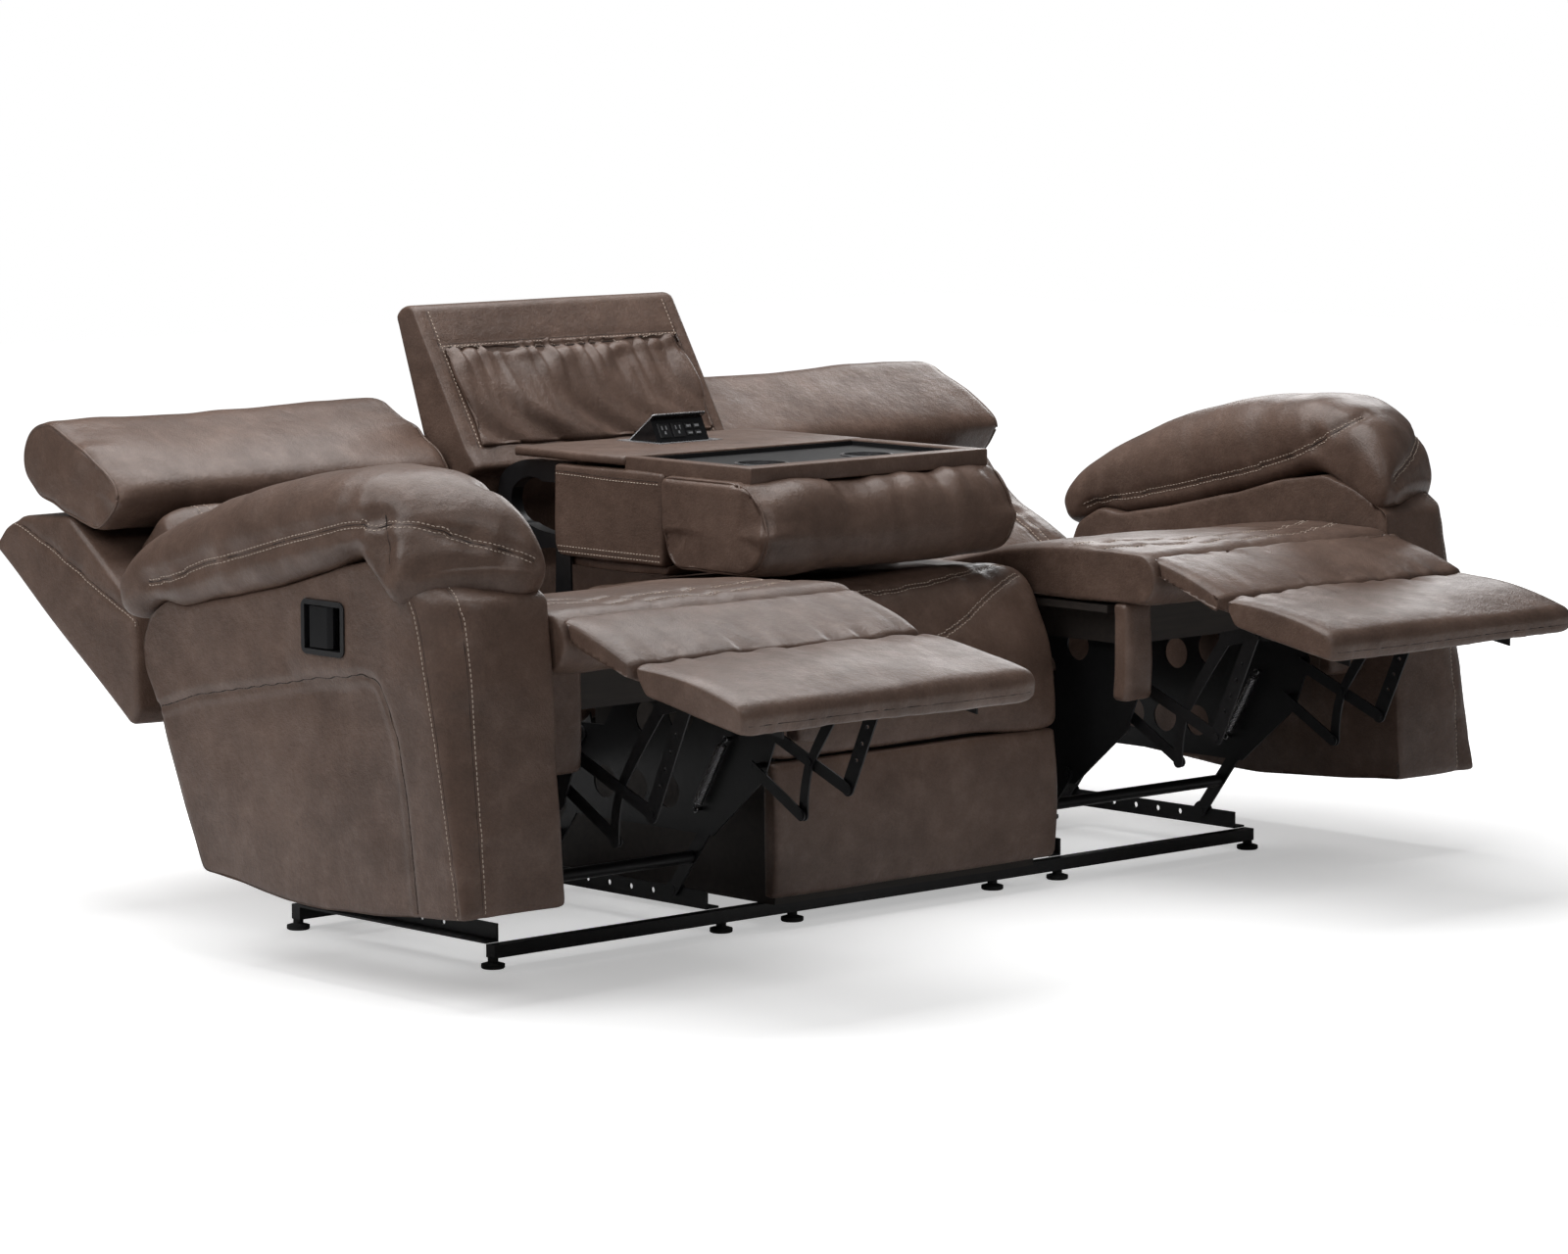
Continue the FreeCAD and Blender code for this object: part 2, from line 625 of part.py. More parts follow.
def arm():
    """The boxed arm, whose broad front leans back towards the outside, and the pillow on top."""
    inner_front = [(-245, 468), (-255, 326), (-262, 255), (-268, 134)]
    outer_front = [(-197, 441), (-223, 343), (-248, 229), (-270, 134)]
    top_outer = ARM_TOP[:6] + [(-118, 628), (-160, 584)]

    def section(front, top, inset):
        points = ARM_BOTTOM + ARM_REAR + top + front
        middle = V(120, 350, 0)
        reach = [(V(y, z, 0) - middle) for y, z in points]
        return [((middle + r * (1 - inset / r.Length)).x, (middle + r * (1 - inset / r.Length)).y) for r in reach]

    blend = [((a[0] * 0.62 + b[0] * 0.38), (a[1] * 0.62 + b[1] * 0.38))
             for a, b in zip(inner_front + ARM_TOP, outer_front + top_outer)]
    sections = [
        ("arm_inner", inner_front, ARM_TOP, 4),
        ("arm_inner + 12", inner_front, ARM_TOP, 0),
        ("arm_outer - 70", inner_front, ARM_TOP, 0),
        ("arm_outer - 22", blend[:4], blend[4:], 0),
        ("arm_outer", outer_front, top_outer, 5),
    ]
    wires = [outline_wire(section(front, top, inset), size(x)) for x, front, top, inset in sections]
    shape = Part.makeLoft(wires, True, True)
    well = Part.makeBox(60, size("bezel_length") + 1, size("bezel_height") + 1,
                        V(size("arm_outer - bezel_depth - 0.5"), size("bezel_front - 0.5"),
                          size("bezel_bottom - 0.5")))
    keep_both_sides(seat_in_frame(soft_piece("arm_panel", shape.cut(well))), "arm_panel")

    outline = [
        (546, 556), ("via", 510, 605), (468, 637), ("via", 370, 682), (236, 722), ("via", 110, 752),
        (-22, 766), ("via", -150, 762), (-240, 728), ("via", -296, 690), (-316, 640),
        ("via", -312, 606), (-285, 592), (-236, 586.5), (-161, 620.5), (-87, 641), (3, 626), (113, 595),
        (264, 560), (379, 540), (432, 546.5), (500, 512),
    ]
    spine = ((-268, 650), (-180, 676), (-20, 696), (150, 662), (300, 618), (400, 592), (488, 560))
    stations = [(909, 24), (922, 9), (950, 0), (1062, 0), (1104, 8), (size("arm_pad_outer"), 26)]
    keep_both_sides(seat_in_frame(soft_piece("arm_pad", pillow_shape(outline, spine, stations))), "arm_pad")


def pull_handle():
    """The recessed cup in the outer arm and the pull lever that turns on an upright pin in it."""
    cup = DOC.addObject("PartDesign::Body", "handle_bezel")
    front, low = "bezel_front", "bezel_bottom"
    rear, high = "bezel_front + bezel_length", "bezel_bottom + bezel_height"
    start = "arm_outer - bezel_depth"
    walls = [(front, low), (rear, low), (rear, high), (front, high)]
    pad(cup, draw_outline(new_sketch(cup, "YZ_Plane", start), walls), "bezel_depth")
    rim = draw_outline(new_sketch(cup, "YZ_Plane", "arm_outer"),
                       [("bezel_front - 5", "bezel_bottom + 8"), ("via", 0, 493), ("bezel_front + 8", "bezel_bottom - 5"),
                        ("bezel_front + bezel_length - 8", "bezel_bottom - 5"), ("via", 92, 493),
                        ("bezel_front + bezel_length + 5", "bezel_bottom + 8"),
                        ("bezel_front + bezel_length + 5", "bezel_bottom + bezel_height - 8"), ("via", 92, 568),
                        ("bezel_front + bezel_length - 8", "bezel_bottom + bezel_height + 5"),
                        ("bezel_front + 8", "bezel_bottom + bezel_height + 5"), ("via", 0, 568),
                        ("bezel_front - 5", "bezel_bottom + bezel_height - 8")])
    pad(cup, rim, 2.5)
    hollow = [("bezel_front + bezel_wall", "bezel_bottom + bezel_wall"),
              ("bezel_front + bezel_length - bezel_wall", "bezel_bottom + bezel_wall"),
              ("bezel_front + bezel_length - bezel_wall", "bezel_bottom + bezel_height - bezel_wall"),
              ("bezel_front + bezel_wall", "bezel_bottom + bezel_height - bezel_wall")]
    pocket(cup, draw_outline(new_sketch(cup, "YZ_Plane", "arm_outer - bezel_depth + bezel_wall"), hollow), 60)
    pin = draw_circles(new_sketch(cup, "XY_Plane", "bezel_bottom + 1"),
                       [("handle_axis_offset", "handle_axis_depth", 2.5)])
    pad(cup, pin, "bezel_height - 2")
    keep_both_sides(seat_in_frame(cup), "handle_bezel")

    lever = DOC.addObject("PartDesign::Body", "pull_handle")
    low = "bezel_bottom + bezel_wall + 2"
    blade = [(1100, 84), (1100, 42), ("via", 1098, 38), (1090, 36), (1090, 32), ("via", 1102, 33), (1105.5, 40),
             (1105.5, 80), ("via", 1104, 83)]
    pad(lever, draw_outline(new_sketch(lever, "XY_Plane", low), blade), "bezel_height - 2 * bezel_wall - 4")
    barrel = draw_circles(new_sketch(lever, "XY_Plane", low), [("handle_axis_offset", "handle_axis_depth", 5)])
    pad(lever, barrel, "bezel_height - 2 * bezel_wall - 4")
    bore = draw_circles(new_sketch(lever, "XY_Plane", "bezel_bottom"),
                        [("handle_axis_offset", "handle_axis_depth", "2.5 + pin_play")])
    pocket(lever, bore, "bezel_height")
    keep_both_sides(seat_in_frame(lever), "pull_handle")


def back():
    """The laid-back backrest, drawn flat along its own rear face and then leaned: the covered
    frame with its hinge brackets, the lumbar cushion and the headrest roll."""
    def lean(item):
        return seat_in_frame(item, 0, "back_lean", "back_edge_depth", "back_edge_height")

    frame = side_plate("back_frame", "back_inner", "back_outer - back_inner",
                       [(0, 0), (447, 0), (440, 46), (414, 89), (315, 170), (100, 165), (50, 100), (0, 35)])
    cover = [(-260, 112), (60, 112), (60, 130), (-260, 130)]
    pad(frame, draw_outline(new_sketch(frame, "YZ_Plane", "unit_inner + 5"), cover), "unit_outer - unit_inner - 10")
    bracket_start = "unit_middle + plate_offset - 4.5"
    board = [(-335, 130), (120, 130), (120, 168), (-335, 168)]
    pad(frame, draw_outline(new_sketch(frame, "YZ_Plane", "unit_middle - plate_offset + 4.5"), board),
        "2 * plate_offset - 9")
    hinge = hinge_along_back()
    arm_outline = [
        (-335, 130), (-150, 130), (-150, 168), (-310, 168), (hinge[0] + 14, hinge[1] + 14),
        ("via", hinge[0], hinge[1] + 20), (hinge[0] - 14, hinge[1] + 14), ("via", hinge[0] - 20, hinge[1]),
        (hinge[0] - 14, hinge[1] - 14),
    ]
    for start in (bracket_start, "unit_middle - plate_offset + 0.5"):
        pad(frame, draw_outline(new_sketch(frame, "YZ_Plane", start), arm_outline), 4)
    bores = draw_circles(new_sketch(frame, "YZ_Plane", "unit_inner"),
                         [(hinge[0], hinge[1], "recline_pin_radius + pin_play")])
    pocket(frame, bores, "unit_outer - unit_inner")
    keep_both_sides(lean(frame), "back_frame")

    lumbar = [
        (-303, 182), (-285, 171.5), (214, 171.5), (220, 181), (203, 262), ("via", 190, 274), (172, 273),
        ("via", 110, 262), (50, 262), ("via", -80, 284), (-200, 284), ("via", -262, 276), (-300, 222),
    ]
    shape = pillow_shape(lumbar, ((-260, 222), (175, 222)), crowned("unit_inner", "unit_outer", 22, 7, (22, 70)))
    keep_both_sides(lean(soft_piece("lumbar_cushion", shape)), "lumbar_cushion")

    roll = [
        (209, 282), (214, 256), (231, 189), (316, 174.5), (415, 149), ("via", 452, 152), (468, 182),
        ("via", 477, 212), (462, 238), ("via", 446, 251), (425, 255), ("via", 330, 262), (240, 279),
        ("via", 222, 288),
    ]
    shape = pillow_shape(roll, ((255, 228), (430, 202)), crowned("back_inner", "back_outer", 14, 4, (10, 30)))
    keep_both_sides(lean(soft_piece("headrest_roll", shape)), "headrest_roll")


def hinge_along_back():
    """The recline hinge in the back's own frame: along its rear face, and forward of it."""
    lean = math.radians(size("back_lean"))
    depth = size("recline_hinge_depth - back_edge_depth")
    height = size("recline_hinge_height - back_edge_height")
    return (depth * math.cos(lean) + height * math.sin(lean), height * math.cos(lean) - depth * math.sin(lean))


def centre_seat():
    """The fixed middle seat: an open-bottomed box of boards, its cushion that falls over the
    front, the lower front panel and the plates that hold the console's hinge."""
    box = side_plate("centre_seat_frame", "0 - centre_frame_half_width", "2 * centre_frame_half_width",
                     [(-30, 36), (485, 36), (655, 190), (655, 250), (395, 250), (395, 390), (-30, 390)])
    half = "centre_frame_half_width - board_gauge"
    for hollow in (
        [(-8, 0), (373, 0), (373, 378), (-8, 378)],
        [(395, 0), (500, 0), (633, 150), (633, 260), (395, 260)],
    ):
        pocket(box, draw_outline(new_sketch(box, "YZ_Plane", "0 - (%s)" % half), hollow), "2 * (%s)" % half)
    keep(seat_in_frame(box), "centre_seat_frame")

    outline = [
        (398, 391), (398, 486), ("via", 390, 500), (370, 505), ("via", 230, 519), (98, 520), ("via", 10, 506),
        (-20, 462), ("via", -46, 380), (-54, 276), ("via", -50, 267), (-31, 267), (-31, 391),
    ]
    spine = ((-8, 440), (360, 445))
    half = size("centre_half_width")
    stations = [(-half, 9), (-half + 14, 3), (-half + 44, 0), (half - 44, 0), (half - 14, 3), (half, 9)]
    shape = pillow_shape(outline, spine, stations)
    keep(seat_in_frame(soft_piece("centre_seat_cushion", shape)), "centre_seat_cushion")

    front = side_plate("centre_front_panel", "0 - centre_half_width", "2 * centre_half_width",
                       [(-31, 50), (-52, 50), (-57, 58), ("via", -60.5, 150), (-54, 262), (-31, 262)])
    keep(seat_in_frame(front), "centre_front_panel")

    start = "console_half_width + 2"
    pin = ("console_hinge_depth", "console_hinge_height", "console_pin_radius", "console_half_width - 46", start)
    plate = side_plate("console_hinge_plate", start, 4, [
        (420, 195), (560, 195), (560, 246), (520, 400), (515, 562), ("via", 498, 576), (481, 562),
        (476, 400), (420, 246),
    ], posts=[pin])
    plates = DOC.addObject("Part::Compound", "console_hinge_brackets")
    plates.Links = [plate, mirrored("console_hinge_plate_left", plate)]
    keep(seat_in_frame(plates), "console_hinge_brackets")


def centre_back():
    """The fixed shell behind the console, thin at the top, and the gathered panel let into its face."""
    shell = side_plate("centre_back_shell", "0 - shell_half_width", "2 * shell_half_width", [
        (847, 927), (712.5, 706.5), (682, 672), (714, 655), (714, 500), (662, 400), (612, 300), (604, 251), (656, 251),
        (805, 660), (896, 912), ("via", 876, 930),
    ])
    keep(seat_in_frame(shell), "centre_back_shell")

    lean = math.degrees(math.atan2(220.5, 134.5))
    panel = DOC.addObject("PartDesign::Body", "shell_inset_panel")
    outline = [(14, 0.5), (186, 0.5), (186, 5), ("via", 100, 14), (14, 6)]
    pad(panel, draw_outline(new_sketch(panel, "YZ_Plane", "0 - tray_half_width"), outline), "2 * tray_half_width")
    keep(seat_in_frame(panel, 0, lean, 712.5, 706.5), "shell_inset_panel")


def console():
    """The fold-down console: its board and side boards, the tray with two cup holders, the roll that
    is the headrest when it is raised, the padded back face and the hinge arms."""
    frame = DOC.addObject("PartDesign::Body", "console_frame")
    half = "console_half_width"
    board = [("0 - console_half_width", "console_front"), (half, "console_front"),
             (half, "console_rear"), ("0 - console_half_width", "console_rear")]
    pad(frame, draw_outline(new_sketch(frame, "XY_Plane", "console_top - console_board"), board), "console_board")
    side = [(256, 545), (540, 545), (575, 590), (584, 641), (515, 641), (515, 690), (256, 690)]
    pad(frame, draw_outline(new_sketch(frame, "YZ_Plane", "0 - console_half_width"), side), "2 * console_half_width")
    inside = [(270, 500), (455, 500), (455, 690), (270, 690)]
    behind = [(475, 500), (650, 500), (650, 690), (475, 690)]
    inner = "0 - (console_half_width - console_board)"
    for hollow in (inside, behind):
        pocket(frame, draw_outline(new_sketch(frame, "YZ_Plane", inner), hollow),
               "2 * (console_half_width - console_board)")
    for front, rear, width, below in (
        ("tray_front", "tray_rear", "tray_half_width", "console_board + 1"),
        ("outlet_front - 0.5", "outlet_rear + 0.5", "outlet_half_width + 0.5", "console_board + 1"),
    ):
        opening = [("0 - (%s)" % width, front), (width, front), (width, rear), ("0 - (%s)" % width, rear)]
        pocket(frame, draw_outline(new_sketch(frame, "XY_Plane", "console_top - (%s)" % below), opening),
               "console_board + 10")
    bores = draw_circles(new_sketch(frame, "YZ_Plane", "0 - console_half_width - 1"),
                         [("console_hinge_depth", "console_hinge_height", "console_pin_radius + pin_play")])
    pocket(frame, bores, "2 * console_half_width + 2")
    keep(seat_in_frame(frame), "console_frame")

    tray = DOC.addObject("PartDesign::Body", "console_tray")
    def box_outline(grow):
        across = "tray_half_width - 0.5 - %s" % grow
        front, rear = "tray_front + 0.5 + %s" % grow, "tray_rear - 0.5 - %s" % grow
        return [("0 - (%s)" % across, front), (across, front), (across, rear), ("0 - (%s)" % across, rear)]
    pad(tray, draw_outline(new_sketch(tray, "XY_Plane", "console_top - tray_drop - 4"), box_outline(0)),
        "tray_drop + 2")
    pocket(tray, draw_outline(new_sketch(tray, "XY_Plane", "console_top - tray_drop"), box_outline(3)), 40)
    wells = [(side + "cup_offset", "cup_depth_line", "cup_radius + 0.3") for side in ("0 - ", "")]
    pocket(tray, draw_circles(new_sketch(tray, "XY_Plane", "console_top - tray_drop - 8"), wells), 20)
    keep(seat_in_frame(tray), "console_tray")

    cup = DOC.addObject("PartDesign::Body", "cup_holder")
    floor = "console_top - tray_drop"
    wall = [(0, "cup_bottom"), ("cup_radius - 5", "cup_bottom"), ("cup_radius", "cup_bottom + 5"),
            ("cup_radius", floor), ("cup_rim_radius", floor), ("cup_rim_radius", floor + " + 2"),
            ("cup_radius - cup_wall", floor + " + 2.5"), ("cup_radius - cup_wall", "cup_bottom + 6"),
            ("cup_radius - 6", "cup_bottom + cup_wall"), (0, "cup_bottom + cup_wall")]
    turned = cup.newObject("PartDesign::Revolution", "cup_turned")
    turned.Profile = draw_outline(new_sketch(cup, "XZ_Plane"), wall)
    turned.ReferenceAxis = (turned.Profile[0], ["V_Axis"])
    turned.Angle = 360
    cup.Tip = turned
    cup.Placement.Base = V(size("cup_offset"), size("cup_depth_line"), 0)
    cups = DOC.addObject("Part::Compound", "cup_holders")
    cups.Links = [cup, mirrored("cup_holder_left", cup)]
    keep(seat_in_frame(cups), "cup_holders")

    outline = [
        (62, 688.5), ("via", 18, 672), (-2, 628), ("via", 10, 562), (62, 538), (205, 536), ("via", 234, 552),
        (244, 590), (246, 688.5),
    ]
    half = size("roll_half_width")
    stations = [(-half, 12), (-half + 8, 3), (-half + 26, 0), (half - 26, 0), (half - 8, 3), (half, 12)]
    roll = pillow_shape(outline, ((66, 615), (200, 615)), stations)
    room = Part.makeBox(2 * size("console_half_width") - 36, 180, 90, V(18 - size("console_half_width"), 76, 620))
    keep(seat_in_frame(soft_piece("console_roll", roll.cut(room))), "console_roll")

    outline = [
        (250, 544.5), (250, 536), ("via", 256, 527.5), (275, 525), ("via", 390, 522.5), (505, 525),
        ("via", 524, 527.5), (530, 536), (530, 544.5),
    ]
    stations = [(-252, 5), (-240, 1.5), (-214, 0), (214, 0), (240, 1.5), (252, 5)]
    shape = pillow_shape(outline, ((266, 537), (516, 537)), stations)
    keep(seat_in_frame(soft_piece("console_back_pad", shape)), "console_back_pad")

    start = "console_half_width - console_board - 24"
    hooked = [
        (483, 548), (560, 548), ("via", 640, 562), (684, 610), ("via", 690, 644), (674, 668),
        ("via", 636, 685), (590, 688.5), (520, 688.5), (520, 655), (580, 655), ("via", 632, 656),
        (654, 640), ("via", 655, 606), (618, 584), ("via", 580, 574), (512, 574), (483, 574),
    ]
    arm_plate = side_plate("console_hinge_arm", start, 24, hooked,
                           [("console_hinge_depth", "console_hinge_height", "console_pin_radius + pin_play")])
    arms = DOC.addObject("Part::Compound", "console_hinge_arms")
    arms.Links = [arm_plate, mirrored("console_hinge_arm_left", arm_plate)]
    keep(seat_in_frame(arms), "console_hinge_arms")


def outlet():
    """The pop-up outlet: a cup let into the rear board, and the sprung wedge with its sockets."""
    housing = DOC.addObject("PartDesign::Body", "outlet_housing")
    half = "outlet_half_width"
    def rectangle(grow):
        across = "outlet_half_width + %s" % grow
        front, rear = "outlet_front - (%s)" % grow, "outlet_rear + %s" % grow
        return [("0 - (%s)" % across, front), (across, front), (across, rear), ("0 - (%s)" % across, rear)]
    pad(housing, draw_outline(new_sketch(housing, "XY_Plane", "outlet_bottom"), rectangle("0")),
        "console_top - outlet_bottom")
    pad(housing, draw_outline(new_sketch(housing, "XY_Plane", "console_top"), rectangle("6")), 2.5)
    pocket(housing, draw_outline(new_sketch(housing, "XY_Plane", "outlet_bottom + outlet_wall"),
                                 rectangle("(0 - outlet_wall)")), 90)
    bores = draw_circles(new_sketch(housing, "YZ_Plane", "0 - outlet_half_width - 1"),
                         [("flap_hinge_depth", "flap_hinge_height - 2", "2 + pin_play")])
    pocket(housing, bores, "2 * outlet_half_width + 2")
    keep(seat_in_frame(housing), "outlet_housing")

    lean = math.radians(size("flap_lean"))
    axis = (size("flap_hinge_depth"), size("flap_hinge_height - 2"))

    def on_lid(along, above):
        return (axis[0] - along * math.cos(lean) + above * math.sin(lean),
                axis[1] + along * math.sin(lean) + above * math.cos(lean))

    wedge = [on_lid(0, 4), on_lid(size("flap_length"), 4), on_lid(size("flap_length"), 1),
             on_lid(72, 1), on_lid(63, -50), on_lid(0, -3)]
    flap = side_plate("outlet_flap", "0 - (outlet_half_width - outlet_wall - 1.5)",
                      "2 * (outlet_half_width - outlet_wall - 1.5)", wedge)
    pin = draw_circles(new_sketch(flap, "YZ_Plane", "0 - (outlet_half_width - 0.5)"),
                       [("flap_hinge_depth", "flap_hinge_height - 2", 2)])
    pad(flap, pin, "2 * (outlet_half_width - 0.5)")
    keep(seat_in_frame(flap), "outlet_flap")


def check_and_write():
    """Stop on any failed object or shape, then write one file per sub-part."""
    DOC.recompute()
    for item in DOC.Objects:
        if "Invalid" in item.State or "Error" in item.State:
            raise RuntimeError("%s did not build: %s" % (item.Label, item.State))
    for item in KEPT:
        if item.Shape.isNull() or not item.Shape.isValid():
            raise RuntimeError("%s has no valid shape" % item.Label)
    os.makedirs("parts", exist_ok=True)
    for item in KEPT:
        item.Shape.exportStep("parts/%s.step" % item.Label)
        print("%-24s %d solids" % (item.Label, len(item.Shape.Solids)))


base()
for frame_label, pivot in (("rear_swing_frame", "swing_rear"), ("front_swing_frame", "swing_front")):
    swing_frame(frame_label, pivot)
side_plates()
springs()
footrest_links()
ottoman()
chaise()
seat()
arm()
pull_handle()
back()
centre_seat()
centre_back()
console()
outlet()
check_and_write()
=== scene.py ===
"""Finished look of a three-seat sofa with two recliners and a drop-down console.

Outlines are drawn in the side view, in millimetres behind the line of the front feet and above
the floor. The right-hand recliner is shaped, and the left one mirrors it with folds of its own.
"""

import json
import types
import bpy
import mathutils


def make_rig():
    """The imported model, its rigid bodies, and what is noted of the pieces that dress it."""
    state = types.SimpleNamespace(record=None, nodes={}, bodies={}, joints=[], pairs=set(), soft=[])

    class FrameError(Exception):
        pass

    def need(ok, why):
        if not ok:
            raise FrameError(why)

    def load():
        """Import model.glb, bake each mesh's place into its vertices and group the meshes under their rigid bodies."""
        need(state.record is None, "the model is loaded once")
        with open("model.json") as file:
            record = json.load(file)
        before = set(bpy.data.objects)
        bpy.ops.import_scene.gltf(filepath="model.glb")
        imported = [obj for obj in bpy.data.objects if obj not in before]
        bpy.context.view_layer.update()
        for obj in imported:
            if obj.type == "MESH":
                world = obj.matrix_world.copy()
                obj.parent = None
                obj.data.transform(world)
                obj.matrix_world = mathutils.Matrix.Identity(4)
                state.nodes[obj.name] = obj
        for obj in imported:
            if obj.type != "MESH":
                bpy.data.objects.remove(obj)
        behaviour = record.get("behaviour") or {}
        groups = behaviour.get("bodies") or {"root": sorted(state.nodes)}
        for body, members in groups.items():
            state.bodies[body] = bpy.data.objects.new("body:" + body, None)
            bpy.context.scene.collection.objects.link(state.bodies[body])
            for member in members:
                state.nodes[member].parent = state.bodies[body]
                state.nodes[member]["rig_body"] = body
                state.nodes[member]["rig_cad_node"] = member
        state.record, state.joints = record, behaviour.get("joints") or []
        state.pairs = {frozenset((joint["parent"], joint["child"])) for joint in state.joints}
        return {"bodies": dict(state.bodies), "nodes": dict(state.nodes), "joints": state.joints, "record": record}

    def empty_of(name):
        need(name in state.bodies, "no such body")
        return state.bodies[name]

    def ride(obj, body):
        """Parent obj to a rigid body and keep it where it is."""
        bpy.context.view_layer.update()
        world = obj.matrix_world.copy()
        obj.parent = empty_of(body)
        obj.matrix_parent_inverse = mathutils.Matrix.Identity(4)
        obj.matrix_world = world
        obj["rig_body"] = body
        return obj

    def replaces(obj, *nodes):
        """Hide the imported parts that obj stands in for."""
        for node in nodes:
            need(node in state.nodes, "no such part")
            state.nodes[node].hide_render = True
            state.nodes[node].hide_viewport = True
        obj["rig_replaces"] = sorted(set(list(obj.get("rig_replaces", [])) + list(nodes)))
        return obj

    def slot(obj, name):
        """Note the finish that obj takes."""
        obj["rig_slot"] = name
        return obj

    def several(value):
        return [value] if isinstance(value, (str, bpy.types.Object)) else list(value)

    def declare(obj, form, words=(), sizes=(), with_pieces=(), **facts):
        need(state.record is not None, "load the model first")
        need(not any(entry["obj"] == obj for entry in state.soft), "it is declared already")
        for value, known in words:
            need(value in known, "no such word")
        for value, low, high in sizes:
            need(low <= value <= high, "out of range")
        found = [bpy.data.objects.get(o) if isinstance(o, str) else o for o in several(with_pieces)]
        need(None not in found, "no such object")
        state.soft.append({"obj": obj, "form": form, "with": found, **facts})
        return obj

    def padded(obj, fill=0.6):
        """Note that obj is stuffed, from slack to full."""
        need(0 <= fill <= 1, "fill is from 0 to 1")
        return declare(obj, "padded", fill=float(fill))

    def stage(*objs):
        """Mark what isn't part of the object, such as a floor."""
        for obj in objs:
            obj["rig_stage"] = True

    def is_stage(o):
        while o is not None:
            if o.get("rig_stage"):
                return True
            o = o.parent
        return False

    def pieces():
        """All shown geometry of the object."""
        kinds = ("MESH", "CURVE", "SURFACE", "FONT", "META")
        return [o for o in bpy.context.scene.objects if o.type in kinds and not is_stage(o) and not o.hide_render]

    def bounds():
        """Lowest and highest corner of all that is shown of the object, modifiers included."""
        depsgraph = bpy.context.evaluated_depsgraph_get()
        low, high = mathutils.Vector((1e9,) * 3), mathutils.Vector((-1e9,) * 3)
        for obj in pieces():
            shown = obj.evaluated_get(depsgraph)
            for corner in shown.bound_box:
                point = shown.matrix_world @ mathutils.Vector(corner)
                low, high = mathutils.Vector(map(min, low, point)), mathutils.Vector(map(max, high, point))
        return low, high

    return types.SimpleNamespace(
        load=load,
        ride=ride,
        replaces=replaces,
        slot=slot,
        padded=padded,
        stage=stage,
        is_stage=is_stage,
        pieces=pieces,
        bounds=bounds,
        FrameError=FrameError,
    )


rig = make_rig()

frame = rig.load()

import json
import math

import bpy
import numpy as np
from mathutils import Matrix, Vector
from mathutils.bvhtree import BVHTree
from mathutils.geometry import delaunay_2d_cdt

bl_info = {
    "name": "Reclining sofa with console",
    "version": (1, 0, 0),
    "blender": (4, 5, 0),
    "location": "3D View > Sidebar > Sofa",
    "description": "Leather, seams, springs, finishes and stage for the sofa frame",
    "category": "Object",
}

# One millimetre in metres, and how far the line of the front feet lies in front of the origin.
MM = 0.001
DEPTH = 0.2145
# Outlines are first sampled at this spacing, and their corners rounded on a loop of so many points.
FINE = 0.0012
LOOP_STEPS = 3072
# The laid-back back: its slope, and the lower corner of its rear face.
BACK_LEAN = math.radians(35.4)
BACK_EDGE = (710, 306)
# The right recliner between its arm and the middle seat, and its middle.
UNIT = (0.325, 0.905)
UNIT_MIDDLE = 0.600
SIDES = ("right", "left")
# How far a row of stitches lies from its seam, and the points of a seam path across a piece.
ROW = 0.0045
NEAR_ROW = 0.0042
PATH_POINTS = 60


class SofaSettings(bpy.types.PropertyGroup):
    """Sizes that all of the upholstery shares."""

    cell: bpy.props.FloatProperty(
        name="Cell", description="Spacing of a skin's points", default=0.0062, unit="LENGTH")
    stitch_pitch: bpy.props.FloatProperty(
        name="Stitch pitch", description="From one stitch to the next", default=0.0074, unit="LENGTH")
    stitch_length: bpy.props.FloatProperty(
        name="Stitch length", description="Length of a stitch that shows", default=0.0054, unit="LENGTH")
    thread: bpy.props.FloatProperty(
        name="Thread", description="Width of the stitching thread", default=0.0018, unit="LENGTH")
    # Width of the dark strip of painted shade laid along each seam's groove.
    seam_shade_width: bpy.props.FloatProperty(
        name="Seam", description="Width of the line where two hides meet", default=0.0016, unit="LENGTH")
    fold_depth: bpy.props.FloatProperty(
        name="Folds", description="How deep the folds are, 1 as in the photograph", default=1.0, min=0)


def settings():
    """The sizes set in the sidebar."""
    return bpy.context.scene.sofa_settings


def arc(start, bend, stop):
    """Points about FINE apart from start to just before stop, on the circle through bend."""
    turn = (stop - start) / (bend - start)
    centre = start - (start - bend) * (turn - abs(turn) ** 2) / (2j * turn.imag)
    sweep = np.angle((bend - centre) / (start - centre)) + np.angle((stop - centre) / (bend - centre))
    count = max(3, int(abs(sweep) * abs(start - centre) / FINE))
    return centre + (start - centre) * np.exp(1j * sweep * np.arange(count) / count)


def sampled(outline):
    """A closed outline's points as complex numbers: metres behind the origin, and above the floor.
    ("via", y, z) is the point that the arc between its neighbours passes through."""
    corners = []
    bends = {}
    for item in outline:
        spot = complex(item[-2] * MM - DEPTH, item[-1] * MM)
        if item[0] == "via":
            bends[len(corners) - 1] = spot
        else:
            corners.append(spot)
    runs = []
    for number, start in enumerate(corners):
        stop = corners[(number + 1) % len(corners)]
        if number in bends:
            runs.append(arc(start, bends[number], stop))
        else:
            count = max(2, int(abs(stop - start) / FINE))
            runs.append(start + (stop - start) * np.arange(count) / count)
    return np.concatenate(runs)


